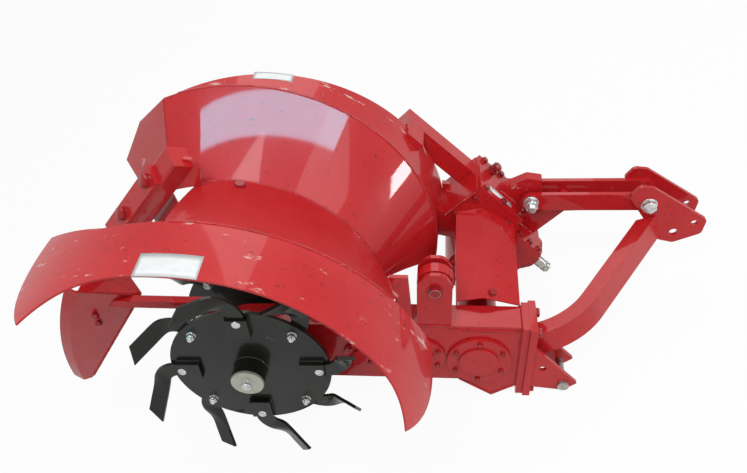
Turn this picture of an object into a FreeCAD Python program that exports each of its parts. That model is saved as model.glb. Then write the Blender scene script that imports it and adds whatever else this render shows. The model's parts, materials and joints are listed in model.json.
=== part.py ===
import FreeCAD, Part
import math
import os
import re
import Sketcher

# Tractor ditcher: side gear case with a two-disc tine rotor under a rolled hood, input gearbox,
# three-point hitch frame and a scraper behind the rotor.
# Case frame: X runs forward along the gear case, Y from its near side to its far side, Z up,
# origin on the rotor axis in the middle of the case. The machine frame is the case frame turned
# about Y by case_slope: F points forwards in work and U upwards.
# Lengths in mm, angles in degrees.

SIZES = {
    "case_slope": 44.24,
    "park_pitch": 14.3,
    "hitch_half": 412.5,
    # gear case
    "case_half": 40,
    "case_radius": 112,
    "case_front": 767,
    "case_top": 130,
    "case_roof": 125,
    "case_roof_start": 380,
    "case_bottom": 107,
    "case_chin": 181,
    "case_chin_rear": 603,
    "case_chin_nose": 699,
    "case_nose_bottom": 129,
    "cover_depth": 9,
    "cover_step": 6,
    "drive_cover_x": 653,
    "drive_cover_z": -16,
    "drive_cover_radius": 92,
    "drive_cover_inner": 57,
    "idler_cover_x": 485,
    "idler_cover_z": -5,
    "idler_cover_radius": 72,
    "idler_cover_inner": 39.6,
    "small_cover_x": 313,
    "small_cover_radius": 50,
    "small_cover_inner": 25,
    "boss_radius": 62,
    "boss_reach": 78,
    # rotor
    "shaft_radius": 30,
    "shaft_clearance": 0.05,
    "hub_radius": 48,
    "hub_start": 84,
    "hub_reach": 156,
    "washer_radius": 47,
    "washer_depth": 8,
    "washer_bolt_radius": 13,
    "washer_bolt_depth": 11,
    "disc_radius": 233,
    "disc_depth": 10,
    "disc_near_face": 98,
    "tine_bolt_circle": 201,
    "tine_bolt_hole": 9,
    "tine_phase": 2.4,
    "tine_count": 8,
    "tine_width": 48,
    "tine_depth": 9,
    "tine_root": 158,
    "tine_shank_end": 216,
    "tine_turn_radius": 60,
    "tine_turn": 78,
    "tine_leg": 112,
    "tine_leg_skew": 14,
    "tine_fold_radius": 42,
    "tine_fold": 42,
    "tine_fold_start": 40,
    "socket_wall": 6,
    "socket_inner_end": 146,
    "socket_clearance": 1,
    # hitch
    "flange_depth": 20,
    "hitch_plate_depth": 21,
    "flange_half": 52,
    "flange_bottom": 152,
    "plate_margin": 8,
    "far_plate_top": -62,
    "ear_top": 51,
    "ear_bottom": -118,
    "far_ear_bottom": -140,
    "clevis_gap_half": 40,
    "clevis_plate": 12,
    "lift_pin_x": 901,
    "lift_pin_z": -104,
    "lift_pin_radius": 11,
    "lift_tip_radius": 27,
    "pin_head_radius": 16.5,
    "pin_head_depth": 9,
    "pin_tail": 14,
    "clevis_hole_x": 836,
    "clevis_hole_z": -36,
    "clevis_hole_radius": 10,
    "pin_clearance": 0.5,
    "leg_slope": 19.8,
    "leg_wide": 46,
    "leg_deep": 84,
    "leg_start": 10,
    "leg_offset": 10,
    "leg_bend_radius": 220,
    "leg_bend": 52,
    "leg_rise": 20,
    "cross_tube_side": 80,
    "side_flange_depth": 12,
    # top hitch
    "top_plate": 12,
    "top_gap_half": 41.5,
    "link_ahead": 141,
    "link_below": 11,
    "link_hole_radius": 13,
    "chain_ahead": 12,
    "chain_above": 65,
    "chain_hole_radius": 9.75,
    "cheek_round": 18,
    "brace_bolt_f": 663,
    "brace_bolt_u": 983,
    "brace_bolt_radius": 10,
    "bolt_head_radius": 18,
    "bolt_head_depth": 12,
    "bolt_tail": 16,
    "lug_bolt_f": 418,
    "lug_bolt_u": 735,
    "brace_radius": 30,
    "brace_bar": 14,
    "web_half": 8,
    "web_rear": 458,
    "web_foot": 542,
    "web_rear_rise": 98,
    "web_bend": 537,
    "web_bend_rise": 131,
    "web_tail": 23,
    "web_tail_drop": 58,
    "web_tip": 27,
    "web_tip_drop": 47,
    "spacer_radius": 14,
    "spacer_low_f": 87,
    "spacer_low_u": 65,
    "spacer_high_f": 63,
    "spacer_high_u": 103,
    "lug_half": 17,
    "lug_foot": 88,
    "lug_rear": 62,
    "lug_rear_rise": 42,
    "lug_crest": 25,
    "lug_crest_rise": 68,
    "lug_nose": 28,
    "lug_nose_rise": 25,
    "lug_toe_rise": 20,
    # gearbox
    "box_half": 81,
    "box_rear": 240,
    "box_low": 540,
    "box_top": 675,
    "box_mid": 430,
    "box_nose": 575,
    "box_nose_top": 640,
    "box_step": 25,
    "lid_margin": 3,
    "seal_gap": 4,
    "bore_beyond": 6,
    "lobe_f": 479,
    "lobe_u": 444,
    "lobe_radius": 96,
    "lid_depth": 15,
    "input_u": 571,
    "cap_radius": 62,
    "cap_depth": 25,
    "collar_radius": 45,
    "collar_depth": 20,
    "input_radius": 17.5,
    "input_start": 545,
    "input_tip": 698,
    "spline_start": 632,
    "spline_root": 14.7,
    "spline_gap": 8,
    "spline_count": 6,
    "groove_start": 672,
    "groove_width": 8,
    "tube_radius": 60,
    "tube_flange_radius": 88,
    "tube_flange_depth": 14,
    "side_flange_rear": 590,
    "side_flange_rear_top": 75,
    "side_flange_top": 40,
    "guard_sheet": 3,
    "guard_rear": 584,
    "guard_shoulder": 142,
    "guard_ridge_x": 660,
    "guard_ridge_z": 158,
    "guard_front": 764,
    "guard_front_z": 131,
    "guard_foot": 110,
    "guard_rise": 86,
    "guard_front_rise": 47,
    # hood
    "hood_x": -11,
    "hood_z": 165,
    "hood_sheet": 4,
    "mouth_radius": 559,
    "mouth_y": -311,
    "mouth_edge": -469,
    "waist_radius": 391,
    "waist_y": 45,
    "rim_radius": 534,
    "rim_y": 269,
    "rim_flare": 0.1,
    "rim_band_top": 42,
    "rim_band_side": 136,
    "rim_band_foot": 215,
    "seam_angle": 112,
    "mouth_front": 38,
    "mouth_rear": 92,
    "waist_front": 8,
    "waist_rear": 100,
    "rim_front": -9,
    "rim_rear": 108,
    "rim_top_angle": 90,
    "rim_side_angle": 34,
    "flap_far_x": -365,
    "flap_far_z": 458,
    "flap_top_x": -311,
    "flap_top_z": 563,
    "flap_foot_x": -301,
    "flap_notch_x": -198,
    "flap_notch_z": 430,
    "flap_root_x": -110,
    "flap_root_z": 522,
    "loop_tube": 60,
    "loop_u": 630,
    "loop_rear": -28,
    "loop_near": 360,
    "core_margin": 15,
    "saddle_out": 70,
    "saddle_in": 40,
    "saddle_bottom": 440,
    "saddle_along": 80,
    "saddle_reach": 42,
    "saddle_ear_depth": 18,
    "saddle_ear_out": 60,
    "saddle_ear_rise": 27,
    "saddle_ear_drop": 22,
    # lugs
    "lug_sheet": 12,
    "hood_lug_rear": 402,
    "hood_lug_front": 464,
    "hood_lug_tip": 452,
    "hood_lug_top": 309,
    "foot_depth": 16,
    "foot_rear_top": 212,
    "foot_front_top": 235,
    "pivot_x": 524,
    "pivot_z": 264,
    "pivot_radius": 15,
    "pivot_rear": 49,
    "pivot_front": 46,
    "pivot_shoulder": 16,
    "pivot_crest": 24,
    "pivot_crest_rise": 55,
    "pivot_round": 30,
    "pivot_tail": 14,
    "eye_radius": 50,
    "eye_half": 16,
    "eye_leg_half": 38,
    # scraper
    "arm_side": 60,
    "arm_turn": 38,
    "arm_lean": 4.6,
    "arm_foot_f": -492,
    "arm_top": 404,
    "arm_round": 6,
    "strap_sheet": 12,
    "strap_low": 170,
    "strap_high": 425,
    "gusset_half": 6,
    "gusset_rear": 33,
    "gusset_rear_rise": 10,
    "gusset_crest": 16,
    "gusset_crest_rise": 22,
    "gusset_fore": 14,
    "gusset_fore_rise": 16,
    "gusset_tip": 52,
    "gusset_tip_drop": 44,
    "gusset_toe": 62,
    "gusset_toe_drop": 74,
    "gusset_heel": 8,
    "gusset_heel_drop": 104,
    "leaf_top": -92,
    "ridge_top_f": -350,
    "ridge_tip_f": -263,
    "leaf_tip": -552,
    "wing_rear": -512,
    "wing_half": 104,
    "leaf_sheet": 8,
    "leaf_lip": 34,
    "leaf_tip_wide": 26,
    "leaf_bulge": 26,
    "tie_half": 12.5,
    "tie_y": -30,
    "tie_z": 184,
    "tie_rear": 425,
    "tie_front": 118,
    "tie_lug_top": 92,
    "tie_lug_front": 50,
    "tie_lug_step": 90,
    "tie_lug_foot": 40,
    "tie_lug_rise": 18,
    "tie_lug_half": 6,
}

V = FreeCAD.Vector
doc = FreeCAD.newDocument("Ditcher")
sheet = doc.addObject("Spreadsheet::Sheet", "dim")
for row, (name, number) in enumerate(SIZES.items(), 1):
    sheet.set("A%d" % row, name)
    sheet.set("B%d" % row, str(number))
    sheet.setAlias("B%d" % row, name)
doc.recompute()


def link(text):
    """The expression with every named size read from the sheet."""
    return re.sub(r"[a-z][a-z_]*",
                  lambda m: "dim." + m.group(0) if m.group(0) in SIZES else m.group(0), str(text))


def val(text):
    return float(sheet.evalExpression(link(text)))


def vec(*parts):
    return V(*[val(p) for p in parts])


def bind(obj, prop, text):
    obj.setExpression(prop, link(text))


# ---- sketched bodies -------------------------------------------------------------------------
def body(label):
    made = doc.addObject("PartDesign::Body", label)
    made.Label = label
    return made


def sketch(owner, name, role, offset="0"):
    made = owner.newObject("Sketcher::SketchObject", name)
    base = [f for f in owner.Origin.OriginFeatures if f.Role == role][0]
    made.AttachmentSupport = [(base, "")]
    made.MapMode = "FlatFace"
    bind(made, "AttachmentOffset.Base.z", offset)
    return made


def locate(flat, index, point, pair):
    for kind, text, number in (("DistanceX", pair[0], point.x), ("DistanceY", pair[1], point.y)):
        row = flat.addConstraint(Sketcher.Constraint(kind, -1, 1, index, point_end(flat, index), number))
        flat.setExpression("Constraints[%d]" % row, link(text))


def point_end(flat, index):
    return 3 if flat.Geometry[index].TypeId == "Part::GeomCircle" else 1


def outline(flat, corners):
    """Closed outline through the (x, y) corners."""
    whole = [V(val(c[0]), val(c[1]), 0) for c in corners]
    count = len(corners)
    first = flat.GeometryCount
    for i in range(count):
        flat.addGeometry(Part.LineSegment(whole[i], whole[(i + 1) % count]), False)
    for i in range(count):
        flat.addConstraint(Sketcher.Constraint("Coincident", first + i, 2, first + (i + 1) % count, 1))
    for i in range(count):
        locate(flat, first + i, whole[i], corners[i])


def circle(flat, x, y, radius):
    centre = V(val(x), val(y), 0)
    index = flat.addGeometry(Part.Circle(centre, V(0, 0, 1), val(radius)), False)
    locate(flat, index, centre, (x, y))
    row = flat.addConstraint(Sketcher.Constraint("Radius", index, val(radius)))
    flat.setExpression("Constraints[%d]" % row, link(radius))
    return index


def pad(owner, flat, length, midplane=False):
    made = owner.newObject("PartDesign::Pad", flat.Name + "_pad")
    made.Profile = flat
    bind(made, "Length", length)
    made.Midplane = midplane
    flat.Visibility = False
    return made


def pocket(owner, flat, length, midplane=False, back=False):
    made = owner.newObject("PartDesign::Pocket", flat.Name + "_cut")
    made.Profile = flat
    bind(made, "Length", length)
    made.Midplane = midplane
    made.Reversed = back
    return made


def polar(owner, feature, axis, count):
    made = owner.newObject("PartDesign::PolarPattern", feature.Name + "_ring")
    made.Originals = [feature]
    made.Axis = ([f for f in owner.Origin.OriginFeatures if f.Role == axis][0], [""])
    made.Angle = 360
    owner.Tip = made
    bind(made, "Occurrences", count)
    return made


def plate(label, corners, low, high, holes=(), role="XZ_Plane"):
    """Flat plate between low and high along Y (or X, Z for the other planes)."""
    made = body(label)
    start = "-(%s)" % high if role == "XZ_Plane" else low
    flat = sketch(made, label + "_outline", role, start)
    outline(flat, corners)
    for hole in holes:
        circle(flat, *hole)
    pad(made, flat, "(%s) - (%s)" % (high, low))
    return made


def rounds(made, radius, chosen):
    """Rounds the straight edges whose middle passes the test."""
    doc.recompute()
    tip = made.Tip
    edges = []
    for i, edge in enumerate(tip.Shape.Edges, 1):
        if edge.Curve.TypeId == "Part::GeomLine" and chosen(edge.CenterOfMass, edge):
            edges.append("Edge%d" % i)
    made_round = made.newObject("PartDesign::Fillet", made.Name + "_round")
    made_round.Base = (tip, edges)
    bind(made_round, "Radius", radius)
    return made


def rod(label, radius, x, z, low, high):
    """Round bar along Y."""
    made = doc.addObject("Part::Cylinder", label)
    bind(made, "Radius", radius)
    bind(made, "Height", "(%s) - (%s)" % (high, low))
    made.Placement = FreeCAD.Placement(V(), FreeCAD.Rotation(V(1, 0, 0), -90))
    bind(made, "Placement.Base.x", x)
    bind(made, "Placement.Base.y", low)
    bind(made, "Placement.Base.z", z)
    return made


def block(label, x, y, z):
    """Box between the given pairs of limits."""
    made = doc.addObject("Part::Box", label)
    for side, pair in (("Length", x), ("Width", y), ("Height", z)):
        bind(made, side, "(%s) - (%s)" % (pair[1], pair[0]))
    for axis, pair in (("x", x), ("y", y), ("z", z)):
        bind(made, "Placement.Base." + axis, pair[0])
    return made


def cut(label, base, tool):
    made = doc.addObject("Part::Cut", label)
    made.Base = base
    made.Tool = tool
    return made


def fuse(label, *shapes):
    made = doc.addObject("Part::MultiFuse", label)
    made.Shapes = list(shapes)
    made.Refine = True
    return made


def feature(label, shape):
    made = doc.addObject("Part::Feature", label)
    made.Shape = shape
    return made


def mirror_y(label, source, about="0"):
    made = doc.addObject("Part::Mirroring", label)
    made.Source = source
    made.Normal = V(0, 1, 0)
    bind(made, "Base.y", about)
    return made


NODES = []


def node(name, *parts, frame="case", carried="frame"):
    made = doc.addObject("Part::Compound", name)
    made.Label = name
    made.Links = list(parts)
    NODES.append((made, frame, carried))
    return made


# ---- gear case -------------------------------------------------------------------------------
case = body("case_body")
flat = sketch(case, "case_outline", "XZ_Plane")
outline(flat, [("0", "case_radius"), ("case_roof_start", "case_roof"), ("case_front", "case_roof"),
               ("case_front", "-case_nose_bottom"),
               ("case_chin_nose", "-case_chin"), ("case_chin_rear", "-case_bottom"), ("0", "-case_radius")])
pad(case, flat, "2 * case_half", midplane=True)
flat = sketch(case, "case_round_end", "XZ_Plane")
circle(flat, "0", "0", "case_radius")
pad(case, flat, "2 * case_half", midplane=True)
flat = sketch(case, "case_boss", "XZ_Plane")
circle(flat, "0", "0", "boss_radius")
pad(case, flat, "2 * boss_reach", midplane=True)
flat = sketch(case, "case_bore", "XZ_Plane")
circle(flat, "0", "0", "shaft_radius + shaft_clearance")
pocket(case, flat, "4 * boss_reach", midplane=True)
node("gear_case", case)

COVERS = (("drive", "drive_cover_x", "drive_cover_z", "drive_cover_radius", "drive_cover_inner"),
          ("idler", "idler_cover_x", "idler_cover_z", "idler_cover_radius", "idler_cover_inner"),
          ("small", "small_cover_x", "0", "small_cover_radius", "small_cover_inner"))
near_covers = []
for name, x, z, radius, inner in COVERS:
    rim = rod(name + "_cover_rim", radius, x, z, "-case_half - cover_depth", "-case_half")
    step = rod(name + "_cover_step", inner, x, z, "-case_half - cover_depth - cover_step", "-case_half")
    near_covers.append(fuse(name + "_cover", rim, step))
far_covers = [mirror_y(c.Name + "_far", c) for c in near_covers[1:]]
node("case_covers", *near_covers, *far_covers)

flange = plate("flange_body", [("-flange_half", "-flange_bottom"), ("flange_half", "-flange_bottom"),
                               ("flange_half", "case_top"), ("-flange_half", "case_top")],
               "case_front", "case_front + flange_depth", role="YZ_Plane")
node("case_flange", flange)

# ---- lower hitch: one side, mirrored about the hitch centre plane ----------------------------
PLATE_X = "case_front + flange_depth"
CLEVIS_X = "case_front + flange_depth + hitch_plate_depth"


def hitch_plate(label, top):
    side = "flange_half + plate_margin"
    return plate(label, [("-(%s)" % side, "-flange_bottom"), (side, "-flange_bottom"), (side, top),
                         ("-(%s)" % side, top)], PLATE_X, CLEVIS_X, role="YZ_Plane")


def ear_pair(label, top, bottom, holes):
    """Two clevis ears that taper from the hitch plate to the lift pin."""
    corners = [(CLEVIS_X, top), ("lift_pin_x + lift_tip_radius * 1.45", "lift_pin_z + lift_tip_radius * 0.25"),
               ("lift_pin_x + lift_tip_radius * 0.15", "lift_pin_z - lift_tip_radius * 0.95"),
               (CLEVIS_X, bottom)]
    return [plate(label + "_outer", corners, "-clevis_gap_half - clevis_plate", "-clevis_gap_half", holes),
            plate(label + "_inner", corners, "clevis_gap_half", "clevis_gap_half + clevis_plate", holes)]


pin_hole = ("lift_pin_x", "lift_pin_z", "lift_pin_radius + pin_clearance")
near_ears = ear_pair("ear", "ear_top", "ear_bottom",
                     [pin_hole, ("clevis_hole_x", "clevis_hole_z", "clevis_hole_radius")])
far_ears = [mirror_y("far_" + ear.Name, ear, "hitch_half")
            for ear in ear_pair("ear_far", "far_plate_top", "far_ear_bottom", [pin_hole])]
pin_bar = rod("lift_pin_bar", "lift_pin_radius", "lift_pin_x", "lift_pin_z",
              "-clevis_gap_half - clevis_plate - pin_head_depth", "clevis_gap_half + clevis_plate + pin_tail")
pin_head = rod("lift_pin_head", "pin_head_radius", "lift_pin_x", "lift_pin_z",
               "-clevis_gap_half - clevis_plate - pin_head_depth", "-clevis_gap_half - clevis_plate")
pin = fuse("lift_pin", pin_bar, pin_head)
far_plate = mirror_y("far_hitch_plate_body", hitch_plate("far_plate_source", "far_plate_top"), "hitch_half")
node("hitch_plates", hitch_plate("near_hitch_plate_body", "case_top"), far_plate)
node("lower_clevises", *near_ears, *far_ears)
node("lift_pins", pin, mirror_y("far_pin", pin, "hitch_half"))

# What is cut off square is cut by blocks as large as the case is long.
TRIM = "case_front"

# Mast leg: a bent rectangular tube in a plane that slopes up by leg_slope.
turn = math.radians(val("leg_bend"))
bend = val("leg_bend_radius")
half = val("leg_wide") / 2
run_in = val("leg_start")
base_y = val("leg_offset")
bend_end = V(run_in + bend * math.sin(turn), base_y + bend * (1 - math.cos(turn)), 0)
reach = (val("hitch_half - top_gap_half - top_plate") - bend_end.y) / math.sin(turn)
heading = V(math.cos(turn), math.sin(turn), 0)
left = V(-math.sin(turn), math.cos(turn), 0)
leg_end = bend_end + heading * reach
mid_turn = turn / 2
centre = V(run_in, base_y + bend, 0)
sides = []
for sign in (-1, 1):
    radius = bend - sign * half
    start = V(run_in, base_y + sign * half, 0)
    middle = centre + V(math.sin(mid_turn), -math.cos(mid_turn), 0) * radius
    end = bend_end + left * half * sign
    tip = end + heading * ((val("hitch_half - top_gap_half - top_plate") - end.y) / heading.y)
    sides.append((V(0, start.y, 0), start, middle, end, tip))
(a, b, c, d, e), (p, q, r, s, t) = sides
curves = [Part.LineSegment(a, b), Part.Arc(b, c, d), Part.LineSegment(d, e), Part.LineSegment(e, t),
          Part.LineSegment(t, s), Part.Arc(s, r, q), Part.LineSegment(q, p), Part.LineSegment(p, a)]
leg_face = Part.Face(Part.Wire([curve.toShape() for curve in curves]))
leg_face.translate(V(0, 0, -val("leg_deep") / 2))
leg_solid = leg_face.extrude(V(0, 0, val("leg_deep")))
mast_leg = feature("mast_leg_body", leg_solid)
mast_leg.Placement = FreeCAD.Placement(vec(CLEVIS_X, "0", "leg_rise"),
                                       FreeCAD.Rotation(V(0, 1, 0), -val("leg_slope")))
leg_trim = block("leg_trim", ("-" + TRIM, CLEVIS_X), ("-" + TRIM, TRIM), ("-" + TRIM, TRIM))
node("mast_leg", cut("mast_leg_cut", mast_leg, leg_trim))

# ---- gearbox, machine frame ------------------------------------------------------------------
LOW = "hitch_half - box_half"
HIGH = "hitch_half + box_half"
box = body("gearbox_body")
flat = sketch(box, "box_outline", "XZ_Plane", "-(%s)" % HIGH)
outline(flat, [("box_rear", "box_low"), ("box_rear", "box_top"), ("box_mid", "box_top"),
               ("box_mid + box_step", "box_nose_top"), ("box_nose", "box_nose_top"),
               ("box_nose", "lobe_u"), ("lobe_f - lobe_radius", "lobe_u")])
pad(box, flat, "2 * box_half")
flat = sketch(box, "lobe_outline", "XZ_Plane", "-(%s)" % HIGH)
circle(flat, "lobe_f", "lobe_u", "lobe_radius")
pad(box, flat, "2 * box_half")
flat = sketch(box, "input_bore_circle", "YZ_Plane", "box_nose")
circle(flat, "hitch_half", "input_u", "input_radius + seal_gap")
pocket(box, flat, "box_nose - input_start + bore_beyond")
node("gearbox_housing", box, frame="machine")

lid = plate("lid_body", [("box_rear + lid_margin", "box_top"), ("box_mid", "box_top"),
                         ("box_mid", "box_top + lid_depth"), ("box_rear + lid_margin", "box_top + lid_depth")],
            LOW, HIGH)
node("gearbox_lid", lid, frame="machine")

lug = plate("lug_body", [("lug_bolt_f - lug_foot", "box_top + lid_depth"),
                         ("lug_bolt_f - lug_rear", "lug_bolt_u + lug_rear_rise"),
                         ("lug_bolt_f - lug_crest", "lug_bolt_u + lug_crest_rise"),
                         ("lug_bolt_f + lug_nose", "lug_bolt_u + lug_nose_rise"),
                         ("lug_bolt_f + lug_nose", "box_top + lug_toe_rise"),
                         ("box_mid", "box_top + lid_depth")],
            "hitch_half - lug_half", "hitch_half + lug_half",
            [("lug_bolt_f", "lug_bolt_u", "brace_bolt_radius + pin_clearance")])
node("gearbox_lug", lug, frame="machine")

cap = body("cap_body")
flat = sketch(cap, "cap_rim", "YZ_Plane", "box_nose")
circle(flat, "hitch_half", "input_u", "cap_radius")
pad(cap, flat, "cap_depth")
flat = sketch(cap, "cap_collar", "YZ_Plane", "box_nose + cap_depth")
circle(flat, "hitch_half", "input_u", "collar_radius")
pad(cap, flat, "collar_depth")
flat = sketch(cap, "cap_bore", "YZ_Plane", "box_nose + cap_depth + collar_depth")
circle(flat, "hitch_half", "input_u", "input_radius + shaft_clearance")
pocket(cap, flat, "cap_depth + collar_depth")
node("input_bearing_cap", cap, frame="machine")

# Splined input shaft with a locking groove.
shaft = body("input_body")
flat = sketch(shaft, "input_round", "YZ_Plane", "input_start")
circle(flat, "hitch_half", "input_u", "input_radius")
pad(shaft, flat, "input_tip - input_start")
doc.recompute()
gaps = []
for i in range(int(val("spline_count"))):
    angle = 2 * math.pi * i / val("spline_count")
    depth = val("input_radius - spline_root") + 2
    wide = val("spline_gap")
    long = val("input_tip - spline_start") + 2
    gap = Part.makeBox(long, wide, depth, V(0, -wide / 2, val("spline_root")))
    gap.rotate(V(), V(1, 0, 0), math.degrees(angle))
    gaps.append(gap)
ring = Part.makeCylinder(val("input_radius") + 3, val("groove_width"), V(), V(1, 0, 0))
ring = ring.cut(Part.makeCylinder(val("spline_root"), val("groove_width"), V(), V(1, 0, 0)))
ring.translate(V(val("groove_start - spline_start"), 0, 0))
cutter = feature("spline_cutter", Part.makeCompound(gaps + [ring]))
cutter.Placement = FreeCAD.Placement(vec("spline_start", "hitch_half", "input_u"), FreeCAD.Rotation())
node("input_shaft", cut("input_splined", shaft, cutter), frame="machine", carried="input")

# ---- brace and top hitch, machine frame ------------------------------------------------------
span = "sqrt((brace_bolt_f - lug_bolt_f)^2 + (brace_bolt_u - lug_bolt_u)^2)"
rise = math.degrees(math.atan2(val("brace_bolt_u - lug_bolt_u"), val("brace_bolt_f - lug_bolt_f")))
bars = []
for side, low in (("near", "hitch_half - top_gap_half"), ("far", "hitch_half + top_gap_half - brace_bar")):
    bar = body("brace_" + side)
    flat = sketch(bar, "brace_%s_bar" % side, "XZ_Plane", "-(%s + brace_bar)" % low)
    outline(flat, [("0", "-brace_radius"), (span, "-brace_radius"), (span, "brace_radius"),
                   ("0", "brace_radius")])
    pad(bar, flat, "brace_bar")
    for end, x in (("low", "0"), ("high", span)):
        flat = sketch(bar, "brace_%s_%s" % (side, end), "XZ_Plane", "-(%s + brace_bar)" % low)
        circle(flat, x, "0", "brace_radius")
        pad(bar, flat, "brace_bar")
    flat = sketch(bar, "brace_%s_holes" % side, "XZ_Plane", "-(%s + brace_bar)" % low)
    circle(flat, "0", "0", "brace_bolt_radius + pin_clearance")
    circle(flat, span, "0", "brace_bolt_radius + pin_clearance")
    pocket(bar, flat, "4 * brace_bar", midplane=True)
    bar.Placement = FreeCAD.Placement(vec("lug_bolt_f", "0", "lug_bolt_u"),
                                      FreeCAD.Rotation(V(0, 1, 0), -rise))
    bars.append(bar)
node("brace_bars", *bars, frame="machine")

web = plate("web_body", [("web_rear", "box_nose_top"), ("web_rear", "box_nose_top + web_rear_rise"),
                         ("brace_bolt_f - web_tail", "brace_bolt_u - web_tail_drop"),
                         ("brace_bolt_f + web_tip", "brace_bolt_u - web_tip_drop"),
                         ("web_bend", "box_nose_top + web_bend_rise"), ("web_foot", "box_nose_top")],
            "hitch_half - web_half", "hitch_half + web_half")
node("brace_web", web, frame="machine")
spacers = []
for name, f, u in (("low", "lug_bolt_f + spacer_low_f", "lug_bolt_u + spacer_low_u"),
                   ("high", "brace_bolt_f - spacer_high_f", "brace_bolt_u - spacer_high_u")):
    for side, low, high in (("near", "hitch_half - top_gap_half + brace_bar", "hitch_half - web_half"),
                            ("far", "hitch_half + web_half", "hitch_half + top_gap_half - brace_bar")):
        spacers.append(rod("spacer_%s_%s" % (name, side), "spacer_radius", f, u, low, high))
node("brace_spacers", *spacers, frame="machine")

LINK_F, LINK_U = "(brace_bolt_f + link_ahead)", "(brace_bolt_u - link_below)"
CHAIN_F, CHAIN_U = "(%s + chain_ahead)" % LINK_F, "(%s + chain_above)" % LINK_U
top_outline = [("brace_bolt_f - 65", "brace_bolt_u - 23"), ("brace_bolt_f - 73", "brace_bolt_u + 22"),
               ("brace_bolt_f - 40", "brace_bolt_u + 48"), (CHAIN_F + " + 16", CHAIN_U + " + 34"),
               (CHAIN_F + " + 50", CHAIN_U + " - 8"), (LINK_F + " + 33", LINK_U + " - 26"),
               (LINK_F + " - 9", LINK_U + " - 51"), (LINK_F + " - 59", LINK_U + " - 42")]
top_holes = [(LINK_F, LINK_U, "link_hole_radius"), (CHAIN_F, CHAIN_U, "chain_hole_radius"),
             ("brace_bolt_f", "brace_bolt_u", "brace_bolt_radius + pin_clearance")]
cheeks = []
for side, low, high in (("near", "hitch_half - top_gap_half - top_plate", "hitch_half - top_gap_half"),
                        ("far", "hitch_half + top_gap_half", "hitch_half + top_gap_half + top_plate")):
    cheek = plate("cheek_" + side, top_outline, low, high, top_holes)
    rounds(cheek, "cheek_round", lambda p, e: abs(e.Vertexes[0].Y - e.Vertexes[1].Y) > 5)
    cheeks.append(cheek)
node("top_clevis", *cheeks, frame="machine")


def bolt(label, f, u, low, high):
    """Bolt along Y that clamps what lies between low and high."""
    shank = rod(label + "_shank", "brace_bolt_radius", f, u, low + " - bolt_head_depth", high + " + bolt_tail")
    head = rod(label + "_head", "bolt_head_radius", f, u, low + " - bolt_head_depth", low)
    nut = rod(label + "_nut", "bolt_head_radius", f, u, high, high + " + bolt_head_depth")
    return fuse(label, shank, head, nut)


node("brace_bolts", bolt("top_bolt", "brace_bolt_f", "brace_bolt_u",
                         "hitch_half - top_gap_half - top_plate",
                         "hitch_half + top_gap_half + top_plate"),
     bolt("lug_bolt", "lug_bolt_f", "lug_bolt_u", "hitch_half - top_gap_half",
          "hitch_half + top_gap_half"), frame="machine")

# ---- cross drive, guard and far hitch carrier ------------------------------------------------
drive = fuse("drive_tube", rod("tube_pipe", "tube_radius", "drive_cover_x", "drive_cover_z", "case_half", LOW),
             rod("tube_case_flange", "tube_flange_radius", "drive_cover_x", "drive_cover_z", "case_half",
                 "case_half + tube_flange_depth"),
             rod("tube_box_flange", "tube_flange_radius", "drive_cover_x", "drive_cover_z",
                 "hitch_half - box_half - tube_flange_depth", LOW))
node("cross_drive_tube", drive)


def guard_section(name, y, rise, front_rise):
    """Roof-shaped section of the guard's sheet in the plane at y, raised by the given amounts."""
    outer = [("guard_rear", "guard_foot"), ("guard_rear", "guard_shoulder + " + rise),
             ("guard_ridge_x", "guard_ridge_z + " + rise), ("guard_front", "guard_front_z + " + front_rise),
             ("guard_front", "guard_foot")]
    inner = [("guard_front - guard_sheet", "guard_foot"),
             ("guard_front - guard_sheet", "guard_front_z - guard_sheet + " + front_rise),
             ("guard_ridge_x", "guard_ridge_z - guard_sheet + " + rise),
             ("guard_rear + guard_sheet", "guard_shoulder - guard_sheet + " + rise),
             ("guard_rear + guard_sheet", "guard_foot")]
    made = sketch(guard, name, "XZ_Plane", "-(%s)" % y)
    outline(made, outer + inner)
    return made


guard = body("guard_body")
guard_near = guard_section("guard_near", "case_half", "0", "0")
guard_far = guard_section("guard_far", LOW, "guard_rise", "guard_front_rise")
roof = guard.newObject("PartDesign::AdditiveLoft", "guard_loft")
roof.Profile = guard_near
roof.Sections = [guard_far]
roof.Ruled = True
node("driveline_guard", guard)

TUBE_BOTTOM = "far_plate_top - cross_tube_side"
side_flange = plate("side_flange_body",
                    [("side_flange_rear", TUBE_BOTTOM), (PLATE_X, TUBE_BOTTOM), (PLATE_X, "side_flange_top"),
                     ("side_flange_rear", "side_flange_rear_top")], HIGH, HIGH + " + side_flange_depth")
node("gearbox_side_flange", side_flange)
carrier = block("carrier_tube", ("case_front + flange_depth - cross_tube_side", PLATE_X),
                (HIGH + " + side_flange_depth", "2 * hitch_half + flange_half"),
                (TUBE_BOTTOM, "far_plate_top"))
node("far_hitch_tube", carrier)

# ---- hood: rolled sheets about one axis ------------------------------------------------------
SHEET = val("hood_sheet")
SEAM = -110.0
AXIS = vec("hood_x", "0", "hood_z")
AXIS_FRAME = FreeCAD.Placement(AXIS, FreeCAD.Rotation(
    V(math.cos(math.radians(SEAM)), 0, math.sin(math.radians(SEAM))),
    V(math.sin(math.radians(SEAM)), 0, -math.cos(math.radians(SEAM))), V(0, 1, 0), "ZXY"))


def on_hood(angle, y, radius):
    turned = math.radians(angle)
    return AXIS + V(radius * math.cos(turned), y, radius * math.sin(turned))


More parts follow.
